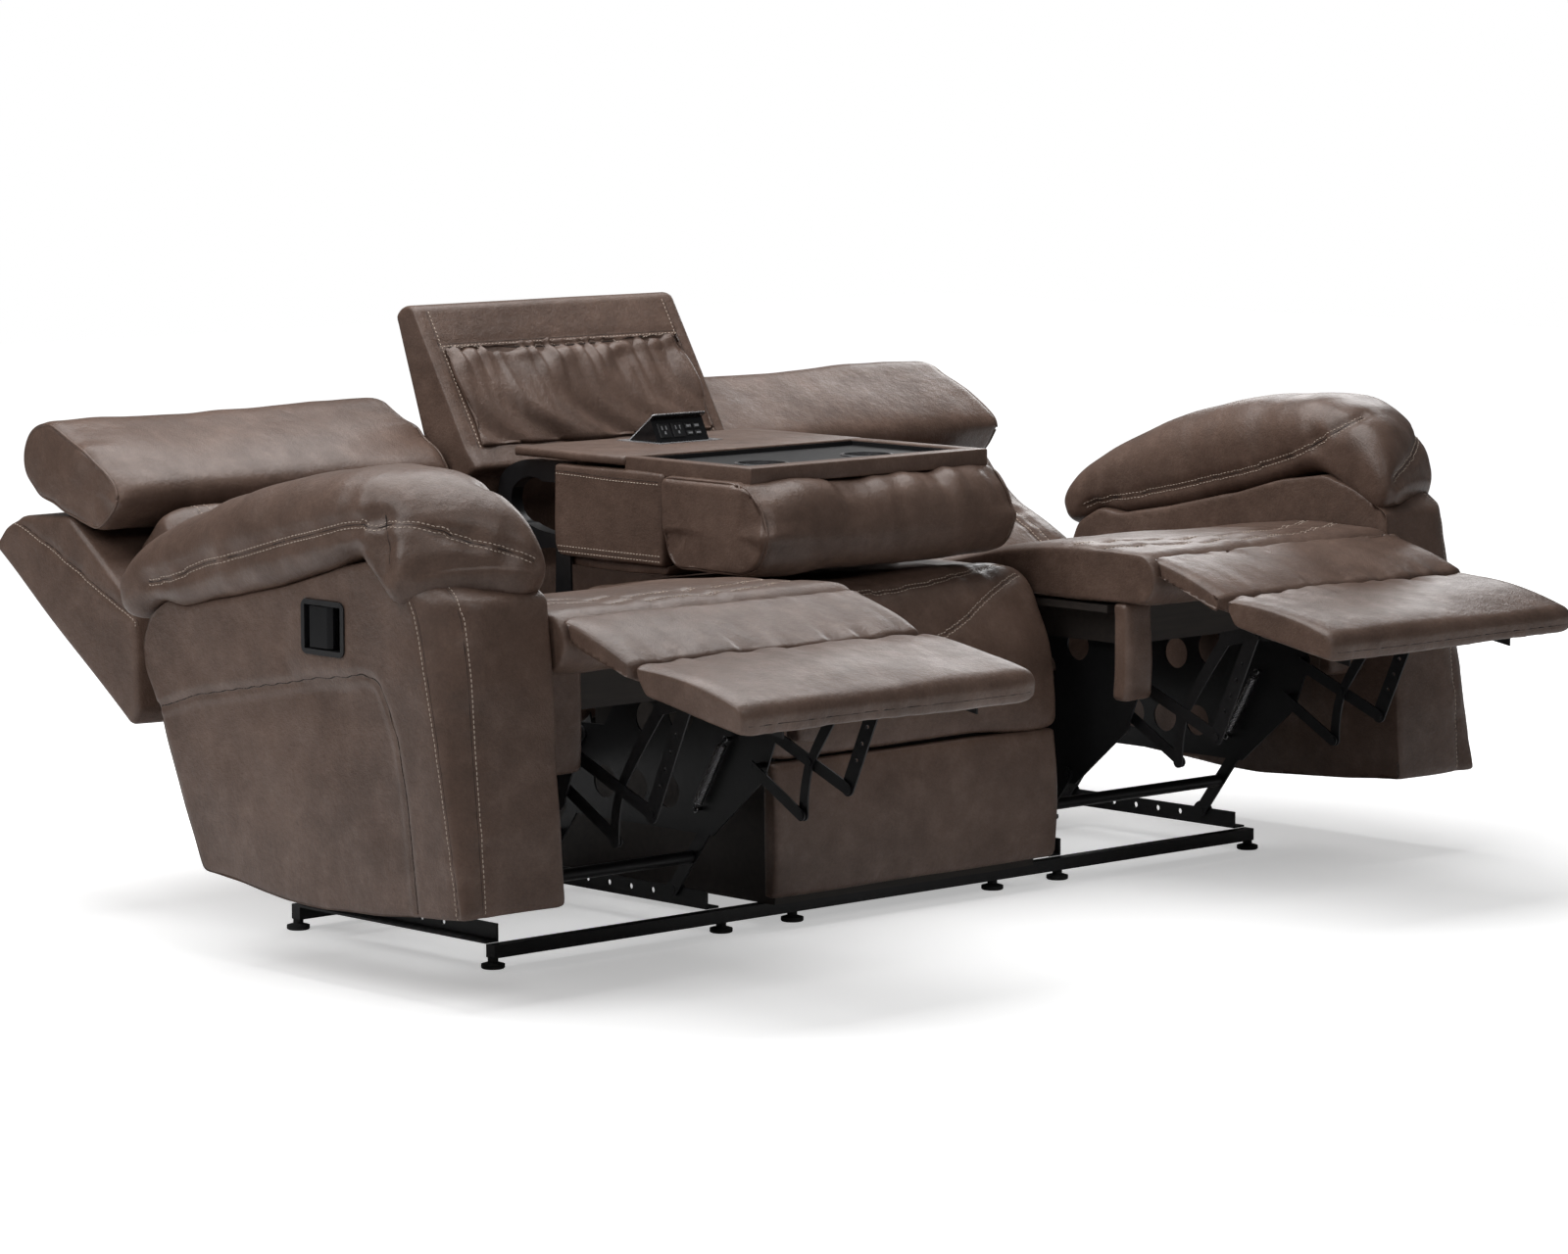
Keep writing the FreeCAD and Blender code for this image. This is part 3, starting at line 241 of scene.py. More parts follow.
def along_back(outline):
    """An outline drawn along the laid-back back's rear face, turned to where it lies."""
    cos, sin = math.cos(BACK_LEAN), math.sin(BACK_LEAN)
    turned = []
    for item in outline:
        along, out = item[-2:]
        spot = (BACK_EDGE[0] + along * cos - out * sin, BACK_EDGE[1] + along * sin + out * cos)
        turned.append(("via",) + spot if item[0] == "via" else spot)
    return turned


def evenly(path, count):
    """A closed run of complex points at evenly spaced places."""
    closed = np.append(path, path[0])
    length = np.append(0, np.cumsum(abs(np.diff(closed))))
    places = np.arange(count) * length[-1] / count
    return np.interp(places, length, closed.real) + 1j * np.interp(places, length, closed.imag)


def blurred(path, width):
    """A closed, evenly spaced run whose corners are rounded by a running average of that width."""
    step = abs(np.diff(path)).mean()
    waves = np.fft.fftfreq(len(path), step)
    return np.fft.ifft(np.fft.fft(path) * np.exp(-2 * (math.pi * width * waves) ** 2))


def rounded_loop(outline, soft, cell):
    """An outline with soft corners, run anticlockwise, with points about a cell apart."""
    path = blurred(evenly(sampled(outline), LOOP_STEPS), soft)
    if (path.conj() * np.roll(path, -1)).imag.sum() < 0:
        path = path[::-1]
    length = abs(np.diff(np.append(path, path[0]))).sum()
    return evenly(path, max(24, round(length / cell)))


def outward(loop):
    """The directions square to a closed loop, away from its inside."""
    along = np.roll(loop, -1) - np.roll(loop, 1)
    return -1j * along / abs(along)


def inside(loop, spots):
    """Whether each spot lies inside a closed loop, by counting the sides to its right."""
    first, second, spot = loop[:, None], np.roll(loop, -1)[:, None], spots[None, :]
    crossed = (first.imag > spot.imag) != (second.imag > spot.imag)
    rise = np.where(crossed, second.imag - first.imag, 1)
    reach = first.real + (spot.imag - first.imag) * (second.real - first.real) / rise
    return (crossed & (spot.real < reach)).sum(axis=0) % 2 == 1


def fill(loop, cell, hole=None):
    """Spots strewn evenly inside a closed loop, and the triangles that join them to it. A hole is
    a second loop, which the spots begin with and which stays open."""
    columns = np.arange(loop.real.min() - cell, loop.real.max() + cell, cell)
    lines = np.arange(loop.imag.min() - cell, loop.imag.max() + cell, cell * math.sqrt(3) / 2)
    shift = (np.arange(len(lines)) % 2) * cell / 2
    spots = (columns[None, :] + shift[:, None] + 1j * lines[:, None]).ravel()
    spots = spots[inside(loop, spots)]
    least = 0.6 * cell
    spots = spots[abs(spots[None, :] - loop[:, None]).min(axis=0) > least]
    edges = [(i, (i + 1) % len(loop)) for i in range(len(loop))]
    if hole is not None:
        clear = ~inside(hole, spots) & (abs(spots[None, :] - hole[:, None]).min(axis=0) > least)
        spots = np.concatenate([hole, spots[clear]])
        edges += [(len(loop) + i, len(loop) + (i + 1) % len(hole)) for i in range(len(hole))]
    every = np.concatenate([loop, spots])
    only_inside, same_spot = 1, 1e-7
    corners = [Vector((spot.real, spot.imag)) for spot in every]
    places, _, faces, groups = delaunay_2d_cdt(corners, edges, [], only_inside, same_spot)[:4]
    source = []
    for place, group in zip(places, groups):
        if group:
            source.append(group[0])
        else:
            source.append(len(every))
            every = np.append(every, complex(*place))
    source = np.array(source)
    spots = every[len(loop):]
    triangles = source[np.array(faces)]
    if hole is not None:
        triangles = triangles[~inside(hole, every[triangles].mean(axis=1))]
    corners = every[triangles]
    turn = ((corners[:, 1] - corners[:, 0]).conj() * (corners[:, 2] - corners[:, 0])).imag
    triangles[turn < 0] = triangles[turn < 0][:, ::-1]
    return spots, triangles


# Large odd numbers that scramble a lattice corner's place into a random value.
LATTICE_KEYS = (73856093, 19349663, 83492791)
FIRST_SCRAMBLE = 1274126177
SECOND_SCRAMBLE = 2246822519
WORD = 0xFFFFFFFF
HALF_WORD = 0xFFFF
SEED_SHIFT = 57.3


def noise(points, size, seed=0):
    """Smooth random values from -1 to 1, in blobs of a size given for each axis: random numbers at
    the corners of a lattice, blended by a smooth step between them."""
    place = points / np.asarray(size, float) + SEED_SHIFT * seed
    cell = np.floor(place).astype(np.int64)
    part = place - cell
    part = part * part * (3 - 2 * part)
    total = np.zeros(len(points))
    for number in range(2 ** points.shape[1]):
        corner = np.array([(number >> axis) & 1 for axis in range(points.shape[1])])
        key = ((cell + corner) * np.array(LATTICE_KEYS)[:len(corner)]).sum(axis=1)
        key = ((key ^ (key >> 13)) * FIRST_SCRAMBLE) & WORD
        key = ((key ^ (key >> 15)) * SECOND_SCRAMBLE) & WORD
        value = ((key >> 8) & HALF_WORD) / (HALF_WORD / 2) - 1
        total += value * np.where(corner, part, 1 - part).prod(axis=1)
    return total


def resampled(path, step):
    """An open run of points at even steps."""
    path = np.asarray(path, float)
    length = np.append(0, np.cumsum(np.linalg.norm(np.diff(path, axis=0), axis=1)))
    count = max(2, int(round(length[-1] / step)) + 1)
    places = np.linspace(0, length[-1], count)
    return np.stack([np.interp(places, length, path[:, axis]) for axis in range(3)], axis=1)


def eased(path, rounds=3):
    """An open run of points with its bends softened, ends kept."""
    path = np.array(path, float)
    for _ in range(rounds):
        path[1:-1] = (path[:-2] + 2 * path[1:-1] + path[2:]) / 4
    return path


def unit(vectors):
    """Vectors, each cut to a length of one."""
    return vectors / np.maximum(np.linalg.norm(vectors, axis=1), 1e-12)[:, None]


def placed(loop, x):
    """Complex side-view points as places at one X."""
    return np.stack([np.full(len(loop), x), loop.real, loop.imag], axis=1)


class Skin:
    """A closed surface: its points, four-sided faces and triangles, facing outwards."""

    def __init__(self, points, quads, triangles):
        self.points = points
        self.quads = np.asarray(quads, int).reshape(-1, 4)
        self.triangles = np.asarray(triangles, int).reshape(-1, 3)

    def side_view(self):
        """Each point's millimetres behind the line of the front feet, and above the floor."""
        return (self.points[:, 1] + DEPTH) / MM, self.points[:, 2] / MM

    def normals(self):
        """The outward direction at each point, from the faces round it."""
        total = np.zeros_like(self.points)
        corners = self.points[self.quads]
        across = np.cross(corners[:, 2] - corners[:, 0], corners[:, 3] - corners[:, 1])
        for column in self.quads.T:
            np.add.at(total, column, across)
        corners = self.points[self.triangles]
        across = np.cross(corners[:, 1] - corners[:, 0], corners[:, 2] - corners[:, 0])
        for column in self.triangles.T:
            np.add.at(total, column, across)
        return unit(total)

    def push(self, amount):
        """Move each point out along its normal."""
        self.points = self.points + self.normals() * np.asarray(amount)[:, None]

    def fold(self, size, depth, seed=1, where=1.0):
        """Broad folds, as blobs of a size given for each axis."""
        self.push(noise(self.points, size, seed) * depth * settings().fold_depth * where)

    def near(self, path):
        """Each point's distance from a path, and how far along the path its nearest place is."""
        step, batch = 0.0025, 4096
        path = resampled(path, step)
        squares = (path ** 2).sum(axis=1)
        gap = np.empty(len(self.points))
        along = np.empty(len(self.points))
        for start in range(0, len(self.points), batch):
            part = self.points[start:start + batch]
            apart = (part ** 2).sum(axis=1)[:, None] + squares[None, :] - 2 * part @ path.T
            nearest = apart.argmin(axis=1)
            gap[start:start + batch] = np.sqrt(np.maximum(apart[np.arange(len(part)), nearest], 0))
            along[start:start + batch] = nearest * step
        return gap, along

    def draw_in(self, path, depth, width):
        """A groove along a path, deepest on it and fading by the bell curve of that width."""
        gap, _ = self.near(path)
        self.push(-depth * np.exp(-(gap / width) ** 2))

    def pucker(self, path, depth, reach, pitch, seed=1):
        """Small folds that run square to a seam and fade with the distance from it."""
        gap, along = self.near(path)
        wave = noise(np.stack([along / pitch, gap / (2.5 * reach)], axis=1), (1, 1), seed)
        self.push((wave - 0.25) * depth * settings().fold_depth * np.exp(-gap / reach))

    def gather(self, paths, groove, width, **folds):
        """Small folds beside each path, and a groove along it."""
        for path in paths:
            self.pucker(path, **folds)
            self.draw_in(path, depth=groove, width=width)

    def mirrored(self):
        """The same surface on the other side of the sofa's middle."""
        return Skin(self.points * (-1, 1, 1), self.quads[:, ::-1], self.triangles[:, ::-1])

    def faces(self):
        """Every face as a list of the numbers of its points."""
        return self.quads.tolist() + self.triangles.tolist()


def ring_skin(rings, cell, hole=None, well=0.0):
    """Rings of points across X, each run anticlockwise seen from +X, closed at both ends. A hole in
    the last end is a well of that depth."""
    count, around = rings.shape[:2]
    index = np.arange(count * around).reshape(count, around)
    after = np.roll(index, -1, axis=1)
    quads = [np.stack([index[:-1], after[:-1], after[1:], index[1:]], axis=-1).reshape(-1, 4)]
    points = [rings.reshape(-1, 3)]
    triangles = []
    total = count * around
    for ring, first, last_end in ((rings[0], 0, False), (rings[-1], index[-1, 0], True)):
        loop = ring[:, 1] + 1j * ring[:, 2]
        opening = hole if last_end else None
        spots, faces = fill(loop, cell, opening)
        across = ring[:, 0].mean()
        points.append(placed(spots, across))
        faces = np.where(faces < around, faces + first, faces - around + total)
        triangles.append(faces if last_end else faces[:, ::-1])
        if opening is not None:
            rim = total + np.arange(len(hole))
            floor = total + len(spots) + np.arange(len(hole))
            points.append(placed(hole, across - well))
            turned = np.roll(rim, -1), np.roll(floor, -1)
            quads.append(np.stack([rim, turned[0], turned[1], floor], axis=1))
            middle = total + len(spots) + len(hole)
            points.append(np.array([[across - well, hole.real.mean(), hole.imag.mean()]]))
            fan = np.stack([floor, turned[1], np.full(len(hole), middle)], axis=1)
            triangles.append(fan)
            total += len(hole) + 1
        total += len(spots)
    return Skin(np.concatenate(points), np.concatenate(quads), np.concatenate(triangles))


def stations(first, last, reach, cell):
    """Places across X, close together round both ends, and how far on a quarter ellipse each is
    drawn in: 1 at the ends, 0 from one reach inside them."""
    rows = max(5, int(reach / cell) + 3)
    angle = np.linspace(0, math.pi / 2, rows)
    near = first + reach * (1 - np.cos(angle))
    count = max(3, int((last - first - 2 * reach) / cell))
    middle = np.linspace(first + reach, last - reach, count)[1:-1]
    across = np.concatenate([near, middle, (first + last - near)[::-1]])
    drawn = 1 - np.sin(angle)
    return across, np.concatenate([drawn, np.zeros(len(middle)), drawn[::-1]])


def pillow(outline, first, last, reach=0.046, depth=0.010, soft=0.004, cell=None, swell=0.0):
    """A stuffed form: an outline drawn across X that swells from its two drawn-in ends."""
    cell = cell or settings().cell
    loop = rounded_loop(outline, soft, cell)
    out = outward(blurred(loop, 2 * depth + soft))
    loop = loop + out * swell
    across, drawn = stations(first, last, reach, cell)
    loops = loop[None, :] - out[None, :] * (drawn * depth)[:, None]
    rings = np.stack([np.broadcast_to(across[:, None], loops.shape), loops.real, loops.imag], axis=-1)
    return ring_skin(rings, cell)


class Sewing:
    """Seam lines, which are dark strips of painted shade, and stitches that lie on a skin."""

    def __init__(self, skin):
        self.tree = BVHTree.FromPolygons(skin.points.tolist(), skin.faces())
        # Dark strips of painted shade along seams and grooves.
        self.lines = []
        self.threads = []
        self.cords = []

    def lay(self, path, direction=None):
        """A path's places on the skin and the skin's normals there, straight along a direction
        where one is given, and otherwise nearest."""
        spots = []
        for point in path:
            if direction is None:
                hit = self.tree.find_nearest(Vector(point))
            else:
                hit = self.tree.ray_cast(Vector(point), Vector(direction))
            if hit[0] is not None:
                spots.append((hit[0], hit[1]))
        places = np.array([spot[0] for spot in spots])
        normals = np.array([spot[1] for spot in spots])
        return places, normals

    def line(self, path):
        """A dark strip where two hides meet: painted shade in the seam's groove."""
        places, normals = self.lay(resampled(path, 0.005))
        self.lines.append(strip(eased(places, 2), eased(normals, 2), settings().seam_shade_width / 2))

    def piping(self, path, radius=0.0024):
        """A thin covered cord let into a seam."""
        places, normals = self.lay(resampled(path, 0.006))
        self.cords.append(cord_tube(eased(places, 4) + eased(normals, 4) * radius * 0.25, radius=radius))

    def stitches(self, path, offset=0.0):
        """A row of stitches beside a path, at an offset to the left of it seen from outside."""
        places, normals = self.lay(resampled(path, 0.004))
        along = np.gradient(places, axis=0)
        across = unit(np.cross(normals, along))
        places, normals = self.lay(places + across * offset)
        length = np.append(0, np.cumsum(np.linalg.norm(np.diff(places, axis=0), axis=1)))
        pitch, half = settings().stitch_pitch, settings().stitch_length / 2
        centres = np.arange(pitch / 2, length[-1], pitch)

        def read(place, values):
            """Values at places along the path."""
            return np.stack([np.interp(place, length, values[:, axis]) for axis in range(3)], axis=1)

        self.threads.append(thread_row(read(centres - half, places), read(centres, places),
                                       read(centres + half, places), read(centres, normals)))

    def seam(self, path, *offsets):
        """A seam's dark line of painted shade, with rows of stitches at these offsets beside it."""
        self.line(path)
        for offset in offsets:
            self.stitches(path, offset)


def laid(skin, path, direction=None):
    """A path's places on a skin."""
    return Sewing(skin).lay(path, direction)[0]


def sewn(skin, paths, *offsets):
    """A skin, and its sewing: a seam, drawn as a dark line of painted shade, with its rows of stitches along each
    path.
    """
    sewing = Sewing(skin)
    for path in paths:
        sewing.seam(path, *offsets)
    return skin, sewing


def piped(skin, paths):
    """A skin, and its sewing: a covered cord along each path."""
    sewing = Sewing(skin)
    for path in paths:
        sewing.piping(path)
    return skin, sewing


def strip(places, normals, half):
    """A low three-sided bar along a path on a skin."""
    along = np.gradient(places, axis=0)
    side, up = unit(np.cross(normals, along)) * half, normals * half
    sunk, raised = 0.5, 0.45
    return tube_skin(np.stack([places + side - up * sunk, places - side - up * sunk,
                               places + up * raised], axis=1))


def thread_row(starts, middles, stops, normals):
    """Stitches of twelve points each, sunk at both ends and arched between them."""
    along = stops - starts
    across = unit(np.cross(normals, along))
    half = settings().thread / 2
    sunk, raised = 0.8, 0.9
    rings = []
    for centre, lift, girth in ((starts, -0.2, 0.55), (middles, 0.55, 1.0), (stops, -0.2, 0.55)):
        wide, high = across * half * girth, normals * half
        centre = centre + high * lift
        rings.append(np.stack([centre + wide, centre - high * sunk, centre - wide,
                               centre + high * raised * girth], axis=1))
    rings = np.stack(rings, axis=1)
    one = tube_skin(rings[0])
    count = len(rings)
    step = len(one.points) * np.arange(count)
    quads = (one.quads[None] + step[:, None, None]).reshape(-1, 4)
    return Skin(rings.reshape(-1, 3), quads, [])


def tube_skin(rings):
    """Rings of a few points each along a path, joined into a tube with its ends closed."""
    count, around = rings.shape[:2]
    index = np.arange(count * around).reshape(count, around)
    after = np.roll(index, -1, axis=1)
    quads = np.stack([index[:-1], index[1:], after[1:], after[:-1]], axis=-1).reshape(-1, 4)
    triangles = []
    points = rings.reshape(-1, 3)
    if around == 4:
        quads = np.concatenate([quads, index[0][None, :], index[-1][::-1][None, :]])
    else:
        for ring, flip in ((index[0], False), (index[-1], True)):
            fan = [(ring[0], ring[i], ring[i + 1]) for i in range(1, around - 1)]
            triangles += [f[::-1] for f in fan] if flip else fan
    skin = Skin(points, quads, triangles)
    middle = rings.mean(axis=1)
    sample = points[index[0, 0]] - middle[0]
    if (skin.normals()[index[0, 0]] * sample).sum() < 0:
        skin.quads = skin.quads[:, ::-1]
        skin.triangles = skin.triangles[:, ::-1]
    return skin


def cord_tube(path, radius, sides=8):
    """A round tube along a path, its section carried from point to point without twist."""
    path = np.asarray(path, float)
    along = unit(np.gradient(path, axis=0))
    start = np.array((0.0, 0.0, 1.0)) if abs(along[0][2]) < 0.9 else np.array((1.0, 0.0, 0.0))
    rings = []
    for place, way in zip(path, along):
        start = start - way * (start @ way)
        start /= np.linalg.norm(start)
        other = np.cross(way, start)
        angle = np.arange(sides) * 2 * math.pi / sides
        rings.append(place + radius * (np.cos(angle)[:, None] * start + np.sin(angle)[:, None] * other))
    return tube_skin(np.array(rings))


def joined(skins):
    """Several skins as one."""
    points, quads, triangles, total = [], [], [], 0
    for skin in skins:
        points.append(skin.points)
        quads.append(skin.quads + total)
        triangles.append(skin.triangles + total)
        total += len(skin.points)
    return Skin(np.concatenate(points), np.concatenate(quads), np.concatenate(triangles))


# A block's six faces, where its corners are listed by X, then Y, then Z.
BLOCK_FACES = [(0, 1, 3, 2), (4, 6, 7, 5), (0, 4, 5, 1), (2, 3, 7, 6), (0, 2, 6, 4), (1, 5, 7, 3)]


def box_skin(low, high):
    """A plain block between two corners."""
    (x0, y0, z0), (x1, y1, z1) = low, high
    points = np.array([(x, y, z) for x in (x0, x1) for y in (y0, y1) for z in (z0, z1)])
    return Skin(points, BLOCK_FACES, [])


def add_object(name, skin, body, slot, finish=None, smooth=True):
    """A shown mesh that moves with a body. It has the finish of its slot, unless one is given."""
    mesh = bpy.data.meshes.new(name)
    mesh.from_pydata(skin.points.tolist(), [], skin.faces())
    mesh.update()
    if smooth:
        mesh.shade_smooth()
    mesh.materials.append(MATERIALS[finish or SLOT_FINISH[slot]])
    item = bpy.data.objects.new(name, mesh)
    bpy.context.collection.objects.link(item)
    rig.slot(item, slot)
    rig.ride(item, body)
    return item


def add_bevel(item, width, segments=2):
    """Round an object's sharp edges."""
    bevel = item.modifiers.new("Bevel", "BEVEL")
    bevel.width = width
    bevel.segments = segments
    bevel.limit_method = "ANGLE"
    bevel.angle_limit = math.radians(40)


def sided(skin, side):
    """A right-hand skin, or its mirror image for the left side."""
    return skin.mirrored() if side == "left" else skin


def add_sewing(name, sewing, body, side=None):
    """A skin's seam lines of painted shade, stitches and piping, as one object of each kind that it has."""
    # The seam lines take the near-black finish that paints the seams' shade.
    for kind, parts, finish in (("seam_shade_lines", sewing.lines, "seam"), ("stitches", sewing.threads, "thread"),
                                ("piping", sewing.cords, "leather")):
        if parts:
            add_object("%s_%s" % (name, kind), sided(joined(parts), side), body, "trim_leather", finish)


def cover(label, build, body, nodes, fullness=0.8, side=None):
    """One soft piece in place of its CAD nodes. A recliner's piece is built as the right-hand one,
    with folds of its own by a seed, and all its names begin with its side."""
    prefix = side + "_" if side else ""
    skin, sewing = build(SIDES.index(side) + 1) if side else build()
    item = add_object(prefix + label + "_skin", sided(skin, side), prefix + body, "seat_leather")
    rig.padded(item, fullness)
    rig.replaces(item, *[prefix + node for node in nodes])
    if sewing:
        add_sewing(prefix + label, sewing, prefix + body, side)


MATERIALS = {}


# A mix node's inputs for its share and its two colours, and its output for the mixed colour.
MIX_SHARE, MIX_FIRST, MIX_SECOND, MIX_RESULT = 0, 6, 7, 2


class Shader:
    """A material, with short calls that add and join its nodes."""

    def __init__(self, name, rough, metal=0.0):
        self.material = bpy.data.materials.new(name)
        self.material.use_nodes = True
        self.tree = self.material.node_tree
        self.surface = self.tree.nodes["Principled BSDF"]
        self.surface.inputs["Roughness"].default_value = rough
        self.surface.inputs["Metallic"].default_value = metal
        self.place = self.add("ShaderNodeTexCoord").outputs["Object"]

    def add(self, kind, inputs=None, **values):
        """A node, with a value or another node's socket for each input that is named."""
        node = self.tree.nodes.new(kind)
        for key, value in values.items():
            setattr(node, key, value)
        for key, value in (inputs or {}).items():
            if isinstance(value, bpy.types.NodeSocket):
                self.tree.links.new(value, node.inputs[key])
            else:
                node.inputs[key].default_value = value
        return node

    def to(self, socket, name):
        """Join a socket to an input of the surface."""
        self.tree.links.new(socket, self.surface.inputs[name])

    def noise(self, scale, detail=3.0, rough=0.55, place=None):
        """Cloudy values from 0 to 1."""
        node = self.add("ShaderNodeTexNoise", {
            "Vector": place or self.place, "Scale": scale, "Detail": detail, "Roughness": rough})
        return node.outputs["Fac"]

    def range(self, socket, low, high, first, last):
        """Values from low to high, turned into values from first to last."""
        node = self.add("ShaderNodeMapRange", {
            "Value": socket, "From Min": low, "From Max": high, "To Min": first, "To Max": last})
        return node.outputs["Result"]

    def ramp(self, socket, stops):
        """A colour for each value, blended between the stops."""
        node = self.add("ShaderNodeValToRGB", {"Fac": socket})
        stops_made = node.color_ramp.elements
        while len(stops_made) < len(stops):
            stops_made.new(0.5)
        for element, (place, colour) in zip(stops_made, stops):
            element.position = place
            element.color = (*colour, 1)
        return node.outputs["Color"]

    def mix(self, share, first, second, blend="MIX"):
        """Two colours as one."""
        inputs = {MIX_SHARE: share, MIX_FIRST: first, MIX_SECOND: second}
        return self.add("ShaderNodeMix", inputs, data_type="RGBA", blend_type=blend).outputs[MIX_RESULT]

    def bump(self, height, distance, strength=1.0, under=None):
        """The surface's direction made uneven by a height, on top of what lies under it."""
        inputs = {"Height": height, "Distance": distance, "Strength": strength}
        if under is not None:
            inputs["Normal"] = under
        return self.add("ShaderNodeBump", inputs).outputs["Normal"]


def leather_material(name, dark, middle, light, rough=0.40):
    """Mottled pull-up leather: cloudy colour, small pores and creases, painted shade in the creases' hollows and
    painted light on their crests, and a soft sheen.
    """
    made = Shader(name, rough)
    clouds = made.noise(scale=5.0, detail=7.0, rough=0.62)
    patches = made.noise(scale=24.0, detail=6.0, rough=0.62)
    cloudy = made.ramp(clouds, [(0.30, dark), (0.52, middle), (0.74, light)])
    patchy = made.ramp(patches, [(0.34, dark), (0.54, middle), (0.70, light)])
    colour = made.mix(0.45, cloudy, patchy)
    pores = made.add("ShaderNodeTexVoronoi", {"Vector": made.place, "Scale": 480.0}, feature="F1")
    creases = made.noise(scale=210.0, detail=4.0, rough=0.6)
    # The creases' noise also scales the colour, darker in their hollows and lighter on their crests: painted shade and
    # light.
    shade = made.range(creases, 0.3, 0.7, 0.86, 1.06)
    crease_shading = made.add("ShaderNodeCombineColor", {"Red": shade, "Green": shade, "Blue": shade})
    made.to(made.mix(1.0, colour, crease_shading.outputs["Color"], "MULTIPLY"), "Base Color")
    made.to(made.range(patches, 0.3, 0.7, rough + 0.07, rough - 0.05), "Roughness")
    grain = made.bump(pores.outputs["Distance"], distance=0.00028, strength=0.7)
    grain = made.bump(creases, distance=0.0010, strength=0.55, under=grain)
    grain = made.bump(made.noise(scale=60.0, detail=3.0), distance=0.0024, strength=0.5, under=grain)
    made.to(grain, "Normal")
    made.surface.inputs["Specular IOR Level"].default_value = 0.34
    made.surface.inputs["Coat Weight"].default_value = 0.10
    made.surface.inputs["Coat Roughness"].default_value = 0.24
    return made.material


def plain_material(name, colour, rough, metal=0.0, scale=90.0, change=0.12, height=0.0002):
    """A finish with slight unevenness of colour, sheen and height."""
    made = Shader(name, rough, metal)
    spread = made.noise(scale=scale, detail=4.0)
    low = tuple(value * (1 - change) for value in colour)
    high = tuple(min(1, value * (1 + change)) for value in colour)
    made.to(made.ramp(spread, [(0.3, low), (0.7, high)]), "Base Color")
    made.to(made.range(spread, 0.3, 0.7, rough * 0.88, min(1, rough * 1.12)), "Roughness")
    made.to(made.bump(made.noise(scale=scale * 7, detail=3.0), distance=height, strength=0.5), "Normal")
    return made.material


def turned_material(name, colour, rough):
    """Spun steel: fine lines along the height, as left by a lathe."""
    made = Shader(name, rough, 1.0)
    split = made.add("ShaderNodeSeparateXYZ", {"Vector": made.place})
    lines = made.add("ShaderNodeCombineXYZ", {"Z": split.outputs["Z"]})
    wave = made.noise(scale=900.0, detail=2.0, rough=0.5, place=lines.outputs["Vector"])
    low = tuple(value * 0.85 for value in colour)
    made.to(made.ramp(wave, [(0.3, low), (0.7, colour)]), "Base Color")
    made.to(made.range(wave, 0.3, 0.7, rough * 0.8, rough * 1.3), "Roughness")
    return made.material


def wood_material(name, colour):
    """Sawn board: long streaks of grain across X."""
    made = Shader(name, 0.65)
    stretched = made.add("ShaderNodeMapping", {"Vector": made.place, "Scale": (2.0, 26.0, 26.0)})
    streaks = made.noise(scale=4.0, detail=5.0, rough=0.6, place=stretched.outputs["Vector"])
    dark = tuple(value * 0.6 for value in colour)
    made.to(made.ramp(streaks, [(0.3, dark), (0.7, colour)]), "Base Color")
    made.to(made.bump(streaks, distance=0.0006, strength=0.5), "Normal")
    return made.material


def make_materials():
    """Every finish of the sofa, by its short name."""
    dark, middle, light = (0.074, 0.045, 0.033), (0.118, 0.074, 0.056), (0.178, 0.118, 0.092)
    MATERIALS["leather"] = leather_material("sofa_leather", dark, middle, light)
    # Near-black strips laid in the seams' grooves: painted shade.
    MATERIALS["seam"] = plain_material("seam_shadow", (0.018, 0.012, 0.010), rough=0.8)
    MATERIALS["thread"] = plain_material("stitch_thread", (0.50, 0.41, 0.34), rough=0.75, scale=400.0)
    MATERIALS["wood"] = wood_material("frame_board", (0.030, 0.022, 0.018))
    MATERIALS["steel"] = plain_material("black_steel", (0.012, 0.012, 0.013), rough=0.42, metal=0.35,
                                        scale=150.0, change=0.2, height=0.0003)
    MATERIALS["rubber"] = plain_material("black_rubber", (0.012, 0.012, 0.012), rough=0.75)
    MATERIALS["plastic"] = plain_material("black_plastic", (0.010, 0.010, 0.011), rough=0.34,
                                          scale=60.0, change=0.1, height=0.0001)
    MATERIALS["gloss"] = plain_material("gloss_black", (0.006, 0.006, 0.007), rough=0.12,
                                        scale=30.0, change=0.1, height=0.00002)
    MATERIALS["silver"] = plain_material("silver_plastic", (0.55, 0.56, 0.58), rough=0.28, metal=0.75,
                                         scale=60.0, change=0.06, height=0.00005)
    MATERIALS["cup"] = turned_material("cup_steel", (0.62, 0.62, 0.63), 0.20)
    MATERIALS["spring"] = plain_material("spring_steel", (0.42, 0.42, 0.43), rough=0.3, metal=1.0,
                                         scale=120.0, change=0.1, height=0.00005)


# The finish of each material slot of the frame.
SLOT_FINISH = {
    "seat_leather": "leather", "trim_leather": "leather", "frame_wood": "wood", "black_steel": "steel",
    "black_rubber": "rubber", "black_plastic": "plastic", "gloss_black": "gloss",
    "silver_plastic": "silver", "cup_steel": "cup", "spring_steel": "spring",
}


def finish_frame():
    """Give every CAD node the finish of its material slot, with fine bevels on the steel."""
    slots = {entry["node"]: entry["material_slot"] for entry in frame["record"]["subparts"]}
    for name, node in frame["nodes"].items():
        finish = SLOT_FINISH[slots.get(name, "black_steel")]
        node.data.materials.clear()
        node.data.materials.append(MATERIALS[finish])
        if finish in ("steel", "plastic", "silver"):
            add_bevel(node, width=0.0006)


